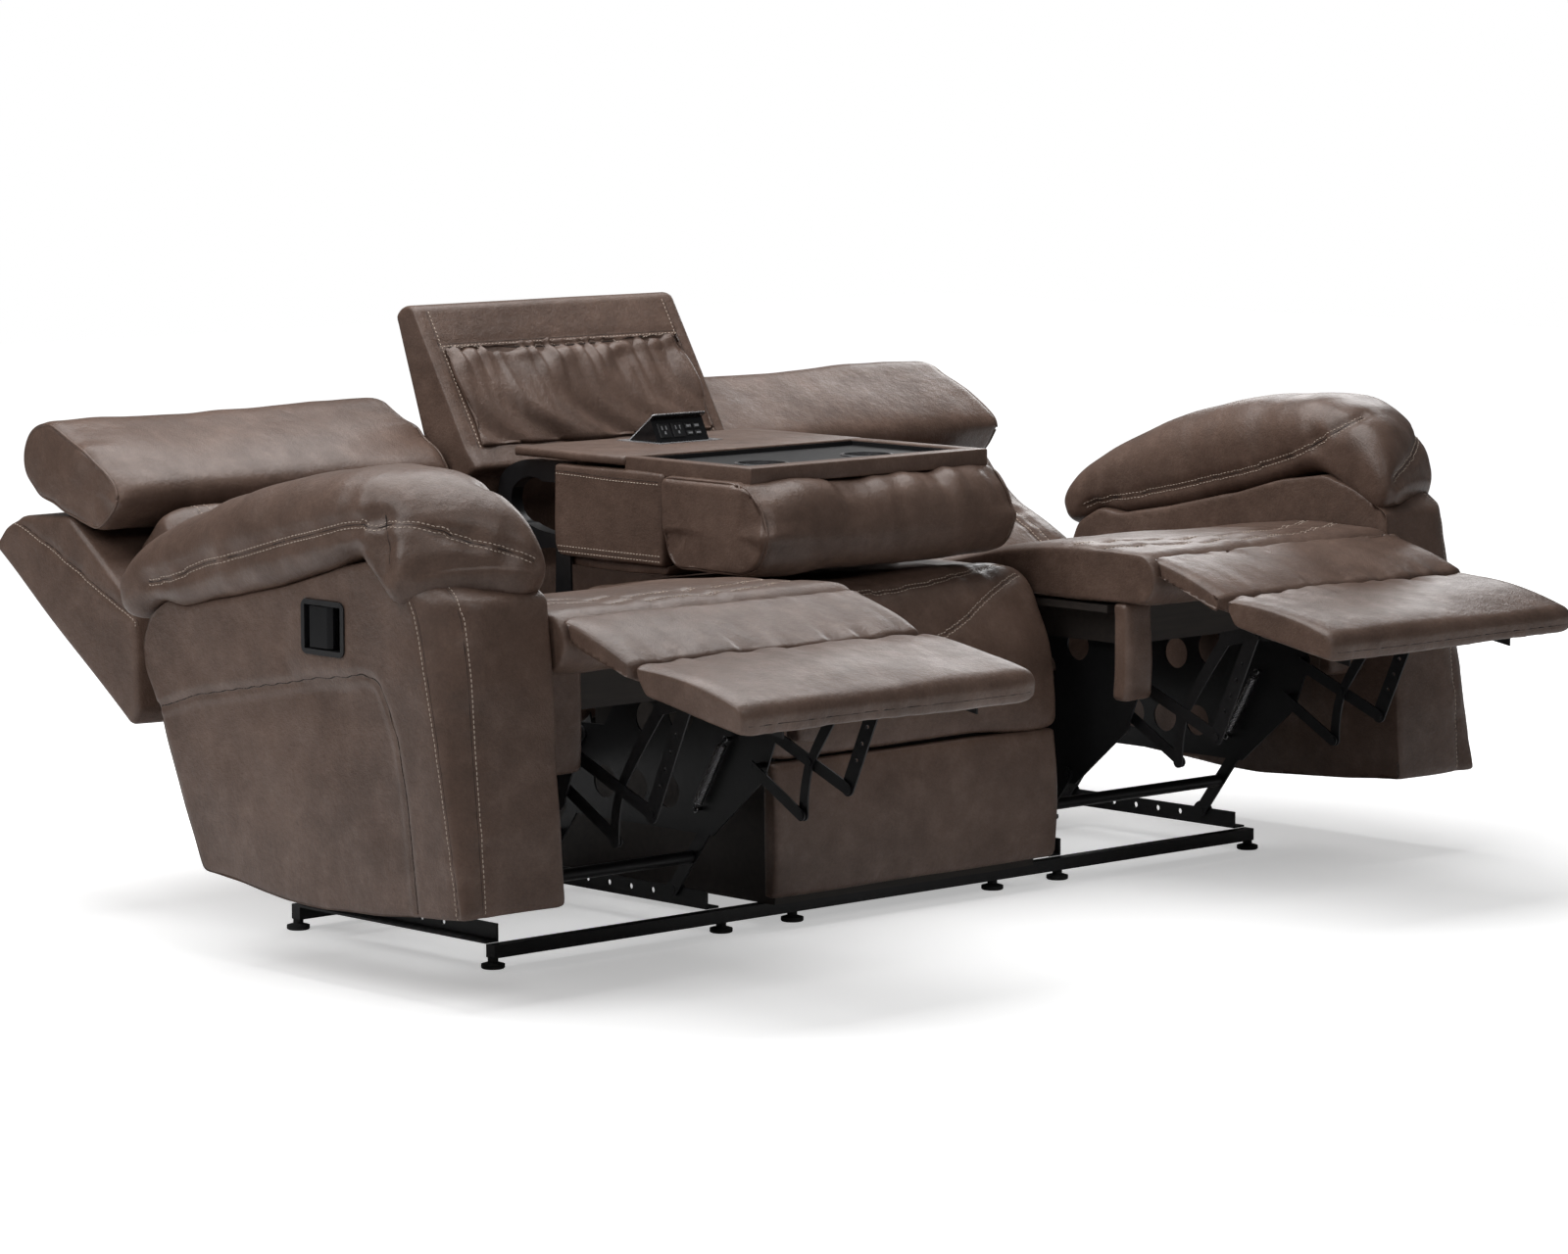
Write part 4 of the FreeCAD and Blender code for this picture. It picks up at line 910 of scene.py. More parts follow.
def at(x, y, z):
    """A place from millimetres of the side view and metres across."""
    return (x, y * MM - DEPTH, z * MM)


def side_path(x, *places):
    """A path at one X through places of the side view."""
    return resampled([at(x, y, z) for y, z in places], 0.006)


def row_across(y, z, first=UNIT[0], last=UNIT[1]):
    """A straight row across a piece, at one place of the side view."""
    return [at(x, y, z) for x in np.linspace(first, last, PATH_POINTS)]


def laid_loop(skin, outline, x, soft):
    """An outline's whole loop at one X, laid on a skin."""
    return laid(skin, placed(rounded_loop(outline, soft, 0.005), x))


def bowed_rows(skin, ends, places):
    """Rows across the top of a seat, each bowed forward from its ends to its middle."""
    count, above, bluntness = 90, 0.8, 0.9
    first, last = ends
    share = np.linspace(0.02, 0.98, count)
    bow = np.sin(math.pi * share) ** bluntness
    rows = []
    for end, middle in places:
        row = np.stack([first + (last - first) * share, (end + (middle - end) * bow) * MM - DEPTH,
                        np.full(count, above)], axis=1)
        rows.append(laid(skin, row, (0, 0, -1)))
    return rows


# Outlines of the right recliner's pads in the side view, from front to rear of the sofa.
OTTOMAN = [(-405.5, 500.8), ("via", -520, 491.5), (-622, 466.5), ("via", -640, 453), (-640, 432),
           ("via", -637, 420), (-626, 417), (-428, 452), (-408, 478)]
CHAISE = [(-261.4, 488.5), ("via", -268.4, 522.8), (-251.1, 553.3), ("via", -330, 532), (-402.5, 501.2),
          (-398, 456.5), ("via", -330, 466)]
SEAT = [(-219, 561.5), ("via", -251.9, 547.9), (-265.5, 515), ("via", -251.9, 482.1), (-219, 468.5),
        (252, 468.5), (252, 496), ("via", 246, 509), (230, 513), ("via", 10, 553)]


def ottoman_skin(seed):
    """The ottoman: a thin pad with a stitched front edge, drawn in towards the chaise."""
    skin = pillow(OTTOMAN, *UNIT, reach=0.032, depth=0.008, soft=0.005)
    front = row_across(-638, 432, UNIT[0] + 0.012, UNIT[1] - 0.012)
    rear = row_across(-409, 494)
    skin.fold((0.20, 0.10, 0.2), depth=0.0038, seed=seed)
    skin.fold((0.06, 0.09, 0.2), depth=0.0012, seed=seed + 1)
    skin.pucker(rear, depth=0.0050, reach=0.034, pitch=0.022, seed=seed)
    skin.gather([front], 0.0020, width=0.005, depth=0.0014, reach=0.016, pitch=0.012, seed=seed + 4)
    return sewn(skin, [front])


def chaise_skin(seed):
    """The chaise: its rear end is hollow round the seat's nose, and its underside rises towards
    both sides, so that its edges look thin."""
    skin = pillow(CHAISE, *UNIT, reach=0.030, depth=0.007, soft=0.0035)
    front, rear = row_across(-401, 494), row_across(-255, 551)
    x, z = skin.points[:, 0], skin.points[:, 2]
    y, _ = skin.side_view()
    edge_width, edge_power, edge_depth = 0.10, 1.3, 0.024
    rear_y, rear_top, slope = -251, 0.553, 0.000344
    edge = np.clip(1 - np.minimum(x - UNIT[0], UNIT[1] - x) / edge_width, 0, 1) ** edge_power
    least = (rear_top + (y - rear_y) * slope) - edge_depth
    skin.points[:, 2] = z + np.where(z < least, edge * (least - z), 0)
    skin.fold((0.20, 0.10, 0.2), depth=0.0036, seed=seed + 2)
    skin.fold((0.05, 0.09, 0.2), depth=0.0014, seed=seed + 3)
    skin.pucker(front, depth=0.0055, reach=0.036, pitch=0.020, seed=seed + 5)
    skin.pucker(rear, depth=0.0022, reach=0.024, pitch=0.020, seed=seed + 6)
    return skin, None


def seat_skin(seed):
    """The seat: a round nose, two bowed double rows across the top and shallow folds behind them."""
    skin = pillow(SEAT, *UNIT, reach=0.046, depth=0.009, soft=0.0035)
    rows = bowed_rows(skin, UNIT, ((-62, -158), (-128, -214)))
    skin.fold((0.16, 0.13, 0.2), depth=0.0050, seed=seed + 3)
    skin.fold((0.06, 0.10, 0.2), depth=0.0018, seed=seed + 4)
    for row in rows:
        skin.pucker(row, depth=0.0045, reach=0.026, pitch=0.020, seed=seed + 7)
    for row in rows:
        skin.draw_in(row, depth=0.0035, width=0.007)
    return sewn(skin, rows, NEAR_ROW, -NEAR_ROW)


def front_pads_skin(seed):
    """The padded returns under the seat's nose, beside the mechanism."""
    returns = []
    outline = [(-196, 314), (-163, 314), (-163, 474), (-196, 474), ("via", -200, 394)]
    for first, last in ((UNIT[0] + 0.002, 0.389), (0.819, UNIT[1] - 0.002)):
        part = pillow(outline, first, last, reach=0.014, depth=0.008, soft=0.006)
        part.fold((0.05, 0.05, 0.07), depth=0.0030, seed=seed + 8)
        returns.append(part)
    return joined(returns), None


# The arm in the side view: its outline in four stretches, with a front of its own at the inner and
# the outer side, the groove of its raised panel, and the seams of its front.
ARM_TOP = [(430, 545), (379, 538), (264, 558), (113, 593), (3, 624), (-87, 639), (-160, 618), (-232, 584)]
ARM_BOTTOM = [(-60, 119), (58, 113), (151, 116), (355, 135)]
ARM_REAR = [(461, 383), (494, 428), (503, 468), (482, 517)]
INNER_FRONT = [(-245, 468), (-255, 326), (-262, 255), (-268, 134)]
OUTER_FRONT = [(-197, 441), (-223, 343), (-248, 229), (-270, 134)]
ARM_GROOVE = [(480, 366), (458, 374), (357, 403), (212, 428), (71, 452), (0, 460), (-33, 468), (-60, 466),
              (-76, 457), (-96, 424), (-116, 382), (-135, 297), (-154, 168), (-162, 112)]
ARM_EDGE_SEAM = [(-113, 629), (-147, 610), (-167, 568), (-186, 501), (-205, 412), (-230, 286),
                 (-246, 201), (-257, 133)]
ARM_FACE_SEAM = [(-112, 646), (-150, 632), (-196, 604), (-222, 560), (-236, 480), (-248, 340),
                 (-258, 250), (-268, 136)]
# The handle's well: its two ends, its floor and top, how deep it is, and the points round it. About
# its middle the leather stays smooth over these half widths.
HANDLE_WELL = (0.5, 91.5, 494.5, 566.5)
WELL_DEPTH = 0.036
WELL_POINTS = 64
WELL_MIDDLE = (46, 530)
WELL_SMOOTH = (52, 42)


def arm_skin(seed):
    """The boxed arm. Its front leans back more and more towards the outside, and its outer face
    has a raised panel edge and the handle's well."""
    cell = settings().cell
    inner_x, outer_x, bend_x, lean_power = 0.913, 1.107, 1.030, 2.3
    corner, spread, inner_draw, outer_draw = 0.008, 0.02, 0.004, 0.006
    top_outer = ARM_TOP[:6] + [(-118, 628), (-160, 584)]
    inner_corners = ARM_BOTTOM + ARM_REAR + ARM_TOP + INNER_FRONT
    outer_corners = ARM_BOTTOM + ARM_REAR + top_outer + OUTER_FRONT
    inner = sampled(inner_corners)
    steps = [max(2, int(abs(complex(*b) - complex(*a)) * MM / FINE))
             for a, b in zip(inner_corners, inner_corners[1:] + inner_corners[:1])]
    spots = [complex(y * MM - DEPTH, z * MM) for y, z in outer_corners]
    outer = np.concatenate([a + (b - a) * np.arange(n) / n
                            for a, b, n in zip(spots, spots[1:] + spots[:1], steps)])
    pick = np.linspace(0, len(inner), int(len(inner) * FINE / cell), endpoint=False).astype(int)
    across, drawn = stations(inner_x, outer_x, 0.012, cell)
    rings = []
    for x, share in zip(across, drawn):
        lean = max(0.0, (x - bend_x) / (outer_x - bend_x)) ** lean_power
        loop = blurred(inner + (outer - inner) * lean, corner)[pick]
        draw = outer_draw if x > bend_x else inner_draw
        loop = loop - outward(blurred(loop, spread)) * share * draw
        rings.append(placed(loop, x))
    y0, y1, z0, z1 = HANDLE_WELL
    hole = evenly(sampled([(y0, z0), (y1, z0), (y1, z1), (y0, z1)]), WELL_POINTS)
    skin = ring_skin(np.array(rings), cell, hole=hole, well=WELL_DEPTH)
    y, z = skin.side_view()
    away = np.hypot(np.maximum(0, abs(y - WELL_MIDDLE[0]) - WELL_SMOOTH[0]),
                    np.maximum(0, abs(z - WELL_MIDDLE[1]) - WELL_SMOOTH[1]))
    calm_reach, face_depth = 45, 0.004
    calm = np.clip(away / calm_reach, 0, 1) ** 2
    outer_face = skin.points[:, 0] > outer_x - face_depth
    groove = side_path(outer_x, *ARM_GROOVE)
    edge = side_path(outer_x, *ARM_EDGE_SEAM)
    face = laid(skin, side_path(1.067, *ARM_FACE_SEAM))
    below_groove = ARM_GROOVE + [(-40, 60), (520, 60), (520, 366)]
    below = inside(np.array([complex(*place) for place in below_groove]), y + 1j * z)
    gap, _ = skin.near(groove)
    step_depth, step_width = 0.0060, 0.016
    skin.points[:, 0] -= np.where(outer_face & below, step_depth * np.clip(gap / step_width, 0, 1), 0)
    skin.fold((0.30, 0.24, 0.20), depth=0.0070, seed=seed, where=calm)
    skin.fold((0.10, 0.09, 0.07), depth=0.0016, seed=seed + 2, where=calm)
    for path, groove_depth in ((edge, 0.0015), (face, 0.0020)):
        skin.gather([path], groove_depth, width=0.006, depth=groove_depth * 1.3, reach=0.014,
                    pitch=0.022, seed=seed + 3)
    skin.draw_in(groove, depth=0.0055, width=0.006)
    sewing = Sewing(skin)
    # A dark line of painted shade along the panel's groove.
    sewing.line(groove)
    sewing.seam(edge, ROW)
    sewing.seam(face, -ROW)
    return skin, sewing


# The arm pillow from rear to front: its top and its underside at each station.
ARM_PAD_LINES = [
    ((552, 552), (534, 536)), ((524, 596), (500, 516)), ((468, 639), (438, 544)),
    ((370, 683), (379, 538)), ((236, 724), (256, 561)), ((105, 753), (113, 594)),
    ((-22, 768), (3, 625)), ((-120, 768), (-84, 641)), ((-204, 750), (-150, 622)),
    ((-276, 714), (-214, 593)), ((-315, 666), (-262, 583)), ((-322, 632), (-300, 600)),
]


def spline(values, places):
    """A smooth run through values at whole numbers: each stretch is a cubic whose slopes are half
    the step between its neighbours."""
    values = np.asarray(values, float)
    before = np.clip(np.floor(places).astype(int), 0, len(values) - 2)
    part = (places - before)[:, None]
    slope = np.gradient(values, axis=0)
    a, b, u, v = values[before], values[before + 1], slope[before], slope[before + 1]
    return ((2 * part ** 3 - 3 * part ** 2 + 1) * a + (part ** 3 - 2 * part ** 2 + part) * u
            + (3 * part ** 2 - 2 * part ** 3) * b + (part ** 3 - part ** 2) * v)


# Seams of the pillow, as metres across and millimetres of the side view: its outer and inner
# seam, and the tuck near its front.
PAD_SEAM = [(1.130, 448, 566), (1.130, 396, 575), (1.130, 307, 606), (1.130, 225, 624),
            (1.130, 192, 633), (1.130, 94, 658), (1.130, -12, 681), (1.130, -75, 696),
            (1.128, -116, 708), (1.110, -158, 708), (1.06, -210, 690), (1.00, -250, 664),
            (0.94, -262, 640)]
INNER_SEAM = [(0.909, 470, 540), (0.909, 380, 566), (0.909, 264, 588), (0.909, 113, 624),
              (0.909, 3, 655), (0.909, -60, 682), (0.909, -110, 712), (0.920, -140, 738),
              (0.950, -150, 760)]
PAD_TUCK = [(1.130, -104, 712), (1.130, -110, 690), (1.128, -116, 664), (1.124, -120, 640)]
# In front of this line the pillow's front is drawn back, more so towards the outside.
PAD_TURN = 40
# Rings along the pillow, and its inner and outer side.
PAD_STATIONS = 150
PAD_SIDES = (0.909, 1.130)


def arm_pad_skin(seed):
    """The pillow on the arm: a long sausage whose section is a squared oval, with a boxing seam on
    both sides and a tuck near its front."""
    cell = settings().cell
    middle_x, half_width, girth, tuck_under = 1.0195, 0.109, 0.62, 12
    rear_end, rear_narrow, front_start, front_narrow = 0.16, 0.30, 0.86, 0.22
    top_square, foot_square, side_square = 0.86, 0.50, 0.72
    marks = np.linspace(0, len(ARM_PAD_LINES) - 1, PAD_STATIONS)
    tops = spline([pair[0] for pair in ARM_PAD_LINES], marks)
    lows = spline([pair[1] for pair in ARM_PAD_LINES], marks)
    share = np.linspace(0, 1, PAD_STATIONS)
    at_rear = np.clip((rear_end - share) / rear_end, 0, 1) ** 2
    at_front = np.clip((share - front_start) / (1 - front_start), 0, 1) ** 2
    width = half_width * (1 - rear_narrow * at_rear - front_narrow * at_front)
    around = int(girth / cell)
    angle = np.arange(around) * 2 * math.pi / around
    cos, sin = np.cos(angle), np.sin(angle)
    rise = np.where(sin > 0, abs(sin) ** top_square, -abs(sin) ** foot_square)
    over = np.sign(cos) * abs(cos) ** side_square
    rings = []
    for top, low, half in zip(tops, lows, width):
        low = low + (0, -tuck_under)
        middle, up = (top + low) / 2, (top - low) / 2
        place = middle + up * rise[:, None]
        rings.append(np.stack([middle_x + half * over, place[:, 0] * MM - DEPTH, place[:, 1] * MM],
                              axis=1))
    rings = np.array(rings)
    cap_depth = 0.010
    starts, ends = [], []
    for turn in np.linspace(0.25, 1.45, 6):
        for ring, way, group in ((rings[0], rings[0] - rings[1], starts),
                                 (rings[-1], rings[-1] - rings[-2], ends)):
            centre = ring.mean(axis=0)
            step = way.mean(axis=0)
            step = step / np.linalg.norm(step)
            group.append(centre + (ring - centre) * math.cos(turn) + step * cap_depth * math.sin(turn))
    rings = np.concatenate([np.array(starts[::-1]), rings, np.array(ends)])
    y = (rings[:, :, 1] + DEPTH) / MM
    share = np.clip((rings[:, :, 0] - PAD_SIDES[0]) / (PAD_SIDES[1] - PAD_SIDES[0]), 0, 1)
    inner_share, outer_loss = 0.80, 0.24
    y = np.where(y < PAD_TURN, PAD_TURN + (y - PAD_TURN) * (inner_share - outer_loss * share), y)
    rings[:, :, 1] = y * MM - DEPTH
    skin = tube_skin(rings)
    outer, inner, tuck = (laid(skin, resampled([at(*p) for p in path], 0.006))
                          for path in (PAD_SEAM, INNER_SEAM, PAD_TUCK))
    skin.fold((0.16, 0.16, 0.16), depth=0.0070, seed=seed + 1)
    skin.fold((0.12, 0.050, 0.09), depth=0.0026, seed=seed + 2)
    skin.gather((outer, inner), 0.0060, width=0.013, depth=0.0062, reach=0.040, pitch=0.026,
                seed=seed + 3)
    skin.gather([tuck], 0.0110, width=0.020, depth=0.0080, reach=0.060, pitch=0.024, seed=seed + 5)
    _, sewing = sewn(skin, (eased(outer), eased(inner)), ROW, -ROW)
    # A dark line of painted shade in the tuck.
    sewing.line(tuck)
    return skin, sewing


# The back's pieces, along the laid-down back's rear face and out of it.
BACK_COVER = along_back([
    (0, 0), (447, 0), (440, 46), (414, 89), (315, 170), (100, 165), (50, 100), (0, 35)])
LOWER_COVER = along_back([(-260, 112), (60, 112), (60, 130), (-260, 130)])
LUMBAR = along_back([
    (-303, 182), (-285, 171.5), (214, 171.5), (220, 181), (203, 262), ("via", 190, 274), (172, 273),
    ("via", 110, 262), (50, 262), ("via", -80, 284), (-200, 284), ("via", -262, 276), (-300, 222)])
HEADREST = along_back([
    (226, 272), (228, 250), (243, 192), (316, 174.5), (415, 149), ("via", 452, 152), (468, 182),
    ("via", 477, 212), (462, 240), ("via", 446, 256), (420, 262), ("via", 330, 280), (252, 290),
    ("via", 236, 286)])
BACK_SEAM = [(1020, 614), (1001, 607), (921, 578), (843, 544), (765, 508), (666, 468)]
# The back and the headrest are wider than the seat: their two ends.
HEAD_ENDS = (0.297, 0.972)


def back_cover_skin(seed):
    """The covered rear of the back, flat with soft edges, and the strip that hangs below it."""
    skin = pillow(BACK_COVER, *HEAD_ENDS, reach=0.012, depth=0.009, soft=0.007)
    seam = side_path(HEAD_ENDS[1], *BACK_SEAM)
    skin.fold((0.20, 0.16, 0.16), depth=0.0040, seed=seed + 4)
    skin.gather([seam], 0.0020, width=0.006, depth=0.0020, reach=0.016, pitch=0.022, seed=seed + 5)
    _, sewing = sewn(skin, [seam], ROW)
    return joined([skin, pillow(LOWER_COVER, 0.330, 0.900, reach=0.008, depth=0.005, soft=0.003)]), sewing


def lumbar_skin(seed):
    """The lumbar cushion: a soft crown with two seams near each end that run up the back."""
    skin = pillow(LUMBAR, *UNIT, reach=0.068, depth=0.021, soft=0.012, swell=0.003)
    outer_seam, inner_seam = 0.062, 0.090
    across = [UNIT[0] + outer_seam, UNIT[0] + inner_seam, UNIT[1] - outer_seam, UNIT[1] - inner_seam]
    loops = [laid_loop(skin, LUMBAR, x, soft=0.006) for x in across]
    skin.fold((0.16, 0.16, 0.16), depth=0.0070, seed=seed + 6)
    skin.fold((0.07, 0.12, 0.12), depth=0.0030, seed=seed + 7)
    for loop in loops:
        skin.pucker(loop, depth=0.0030, reach=0.020, pitch=0.020, seed=seed + 8)
    for loop in loops:
        skin.draw_in(loop, depth=0.0030, width=0.006)
    sewing = Sewing(skin)
    for loop, offset in zip(loops, (NEAR_ROW, -NEAR_ROW, -NEAR_ROW, NEAR_ROW)):
        sewing.seam(loop, offset)
    return skin, sewing


def headrest_skin(seed):
    """The headrest roll, with a piped seam round each flat end."""
    skin = pillow(HEADREST, *HEAD_ENDS, reach=0.024, depth=0.010, soft=0.019, swell=0.007)
    ends = [laid_loop(skin, HEADREST, x, soft=0.019)
            for x in (HEAD_ENDS[0] + 0.004, HEAD_ENDS[1] - 0.004)]
    skin.fold((0.20, 0.12, 0.12), depth=0.0070, seed=seed + 9)
    skin.fold((0.06, 0.14, 0.12), depth=0.0014, seed=seed + 10)
    skin.gather(ends, 0.0020, width=0.005, depth=0.0042, reach=0.050, pitch=0.032, seed=seed + 11)
    return piped(skin, ends)


# The middle of the sofa in the side view.
CENTRE_SEAT = [
    (398, 391), (398, 486), ("via", 390, 500), (370, 505), ("via", 230, 519), (98, 520), ("via", 10, 506),
    (-20, 462), ("via", -48, 380), (-54, 276), ("via", -50, 267), (-31, 267), (-31, 391)]
CENTRE_FRONT = [(-31, 50), (-52, 50), (-57, 58), ("via", -62.5, 150), (-54, 262), (-31, 262)]
SHELL = [(847, 927), (712.5, 706.5), (682, 672), (714, 655), (714, 500), (662, 400), (612, 300),
         (604, 251), (656, 251), (805, 660), (896, 912), ("via", 876, 930)]
# The foot of the shell's front face, and the direction up it.
SHELL_FOOT = (712.5, 706.5)
SHELL_UP = (0.5207, 0.8537)
ROLL = [(62, 688.5), ("via", 18, 672), (-2, 628), ("via", 10, 562), (62, 538), (205, 536),
        ("via", 234, 552), (244, 590), (246, 688.5)]
BACK_PAD = [(250, 544.5), (250, 536), ("via", 256, 527.5), (275, 525), ("via", 390, 521), (505, 525),
            ("via", 524, 527.5), (530, 536), (530, 544.5)]
# Half the width of each piece of the middle, of the seat's sewn rows and of the shell's bands.
CENTRE_HALF = 0.311
CENTRE_ROW = (-0.309, 0.309)
SHELL_HALF = 0.287
BAND_HALF = 0.262
INSET_HALF = 0.256
ROLL_HALF = 0.280
BACK_PAD_HALF = 0.252


def on_shell(along, out):
    """A place of the side view, from millimetres up the shell's front face and out of it."""
    return (SHELL_FOOT[0] + along * SHELL_UP[0] - out * SHELL_UP[1],
            SHELL_FOOT[1] + along * SHELL_UP[1] + out * SHELL_UP[0])


def centre_seat_skin():
    """The middle seat, which falls over its front edge, with two bowed double rows."""
    skin = pillow(CENTRE_SEAT, -CENTRE_HALF, CENTRE_HALF, reach=0.042, depth=0.009, soft=0.004)
    rows = bowed_rows(skin, CENTRE_ROW, ((60, 10), (22, -38)))
    skin.fold((0.16, 0.10, 0.10), depth=0.0060, seed=21)
    skin.gather(rows, 0.0035, width=0.007, depth=0.0030, reach=0.024, pitch=0.018, seed=22)
    low = row_across(-52, 330, *CENTRE_ROW)
    skin.pucker(low, depth=0.0030, reach=0.040, pitch=0.030, seed=23)
    return sewn(skin, rows, NEAR_ROW, -NEAR_ROW)


def centre_front_skin():
    """The lower front panel, almost flat."""
    skin = pillow(CENTRE_FRONT, -CENTRE_HALF, CENTRE_HALF, reach=0.012, depth=0.006, soft=0.004)
    skin.fold((0.16, 0.10, 0.09), depth=0.0022, seed=24)
    return skin, None


def shell_skin():
    """The thin shell behind the console: a stitched band down each side and across the top."""
    skin = pillow(SHELL, -SHELL_HALF, SHELL_HALF, reach=0.010, depth=0.006, soft=0.003)
    bands = []
    for x in (-BAND_HALF, BAND_HALF):
        bands.append([at(x, *on_shell(along, 0)) for along in np.linspace(-6, 252, 40)])
    top = row_across(*on_shell(190, 0), -BAND_HALF, BAND_HALF)
    skin.fold((0.15, 0.15, 0.15), depth=0.0012, seed=25)
    for path in bands + [top]:
        skin.draw_in(path, depth=0.0012, width=0.006)
    sewing = Sewing(skin)
    for path, offset in zip(bands + [top], (-ROW, ROW, -ROW)):
        sewing.seam(path, offset)
    return skin, sewing


def inset_seam(across):
    """How far up the shell the inset's top seam runs, in millimetres: lowest in the middle."""
    highest, dip, half = 186, 12, 0.252
    return highest - dip * np.cos(across * math.pi / 2 / half)


def inset_skin():
    """The gathered panel: pleats under its curved top seam run out into long, slack folds."""
    outline = [on_shell(*p) for p in ((-4, 0.5), (184, 0.5), (185, 4.0), (186, 6.0))]
    outline += [("via",) + on_shell(100, 13), on_shell(-4, 8)]
    skin = pillow(outline, -INSET_HALF, INSET_HALF, reach=0.016, depth=0.004, soft=0.0018, cell=0.0045)
    y, z = skin.side_view()
    y, z = y - SHELL_FOOT[0], z - SHELL_FOOT[1]
    up = y * SHELL_UP[0] + z * SHELL_UP[1]
    out = z * SHELL_UP[0] - y * SHELL_UP[1]
    front_start, front_run = 1.5, 3
    front = np.clip((out - front_start) / front_run, 0, 1)
    across = skin.points[:, 0]
    drop = inset_seam(across) - up
    pleat_depth, pleat_width, pleat_length, pleat_fade = 0.0085, 0.011, 90, 46
    drape_depth, drape_width, drape_length, drape_start = 0.0110, 0.050, 170, 30
    sway, sway_length, hem_depth, hem_width = 0.10, 70, 0.0075, 8
    pleats = noise(np.stack([across / pleat_width, up / pleat_length], axis=1), (1, 1), 31)
    pleats = pleats * np.exp(-np.maximum(drop, 0) / pleat_fade) * pleat_depth
    slack = across + sway * np.sin(up / sway_length)
    drape = noise(np.stack([slack / drape_width, up / drape_length], axis=1), (1, 1), 33) * drape_depth
    hem = np.exp(-(drop / hem_width) ** 2) * hem_depth
    skin.push(front * (pleats + drape * np.clip(drop / drape_start, 0, 1) - hem))
    top = [at(x, *on_shell(inset_seam(x), 3)) for x in np.linspace(-0.248, 0.248, 80)]
    return sewn(skin, [top], -NEAR_ROW)


def roll_skin():
    """The console's front roll. Its ends are piped, and its inside makes room for the cups."""
    skin = pillow(ROLL, -ROLL_HALF, ROLL_HALF, reach=0.026, depth=0.011, soft=0.008)
    y, z = skin.side_view()
    room_half, room_front, room_top, room_floor = 0.237, 80, 640, 0.622
    room = (abs(skin.points[:, 0]) < room_half) & (y > room_front) & (z > room_top)
    skin.points[room, 2] = room_floor
    ends = [laid_loop(skin, ROLL, x, soft=0.008) for x in (-0.274, 0.274)]
    gather = row_across(20, 674, -0.27, 0.27)
    folded_front, folded_foot = 70, 600
    clear = np.where((y < folded_front) | (z < folded_foot), 1.0, 0.0)
    skin.fold((0.16, 0.10, 0.10), depth=0.0070, seed=41, where=clear)
    skin.fold((0.04, 0.10, 0.10), depth=0.0026, seed=46, where=clear)
    before = skin.points.copy()
    skin.gather(ends, 0.0025, width=0.006, depth=0.0060, reach=0.045, pitch=0.026, seed=42)
    skin.pucker(gather, depth=0.0095, reach=0.050, pitch=0.030, seed=43)
    skin.points = np.where(clear[:, None] > 0, skin.points, before)
    return piped(skin, ends)


def back_pad_skin():
    """The padded underside of the console, which is the back when it is raised."""
    skin = pillow(BACK_PAD, -BACK_PAD_HALF, BACK_PAD_HALF, reach=0.030, depth=0.004, soft=0.003)
    skin.fold((0.14, 0.12, 0.1), depth=0.0016, seed=44)
    return skin, None


def holed_board(outer, inner, low, high):
    """A flat board with a rectangular opening. Its corners come in rings of four: the low outer
    and inner ring, then the high ones."""
    points = []
    for z in (low, high):
        for x0, y0, x1, y1 in (outer, inner):
            points += [(x0, y0, z), (x1, y0, z), (x1, y1, z), (x0, y1, z)]
    quads = []
    for i in range(4):
        j = (i + 1) % 4
        quads.append((i, j, 8 + j, 8 + i))
        quads.append((4 + j, 4 + i, 12 + i, 12 + j))
        quads.append((8 + i, 8 + j, 12 + j, 12 + i))
        quads.append((j, i, 4 + i, 4 + j))
    return Skin(np.array(points, float), quads, [])


def console_cover():
    """The leather over the console's board: a border round the tray, a thicker rear board with the
    outlet in it, and a padded panel on each side."""
    def plan(x, front, rear):
        """Two corners of a board seen from above, left front and right rear."""
        return (-x, front * MM - DEPTH, x, rear * MM - DEPTH)

    border = holed_board(outer=plan(0.2595, 51, 350), inner=plan(0.2345, 85.5, 344.5),
                         low=0.684, high=0.7115)
    rear = holed_board(outer=plan(0.264, 346, 620), inner=plan(0.0665, 480.5, 587.5),
                       low=0.6965, high=0.7118)
    panels = []
    outline = [(252, 541), (506, 541), (516, 556), (516, 690), (252, 690)]
    for first, last in ((0.238, 0.2655), (-0.2655, -0.238)):
        panel = pillow(outline, first, last, reach=0.010, depth=0.005, soft=0.004)
        panel.fold((0.1, 0.07, 0.07), depth=0.0022, seed=45)
        panels.append(panel)
    panels.append(box_skin(at(-0.239, 455, 545), at(0.239, 475, 695)))
    for name, skin, width in (("border", border, 0.0045), ("rear_board", rear, 0.006)):
        item = add_object("console_%s" % name, skin, "console", "seat_leather")
        add_bevel(item, width=width, segments=4)
    sides = add_object("console_side_panels", joined(panels), "console", "seat_leather")
    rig.replaces(sides, "console_frame")
    sewing = Sewing(joined(panels))
    for x in (0.266, -0.266):
        low = side_path(x, (258, 553), (400, 553), (508, 553))
        step = side_path(x, (262, 676), (380, 676), (512, 679))
        sewing.seam(low, ROW, -ROW)
        sewing.seam(step, ROW)
    add_sewing("console_side_panels", sewing, "console")


# The outlet's lid: its hinge line, and how far it stands open.
FLAP_AXIS = (575, 704)
FLAP_LEAN = math.radians(36.7)


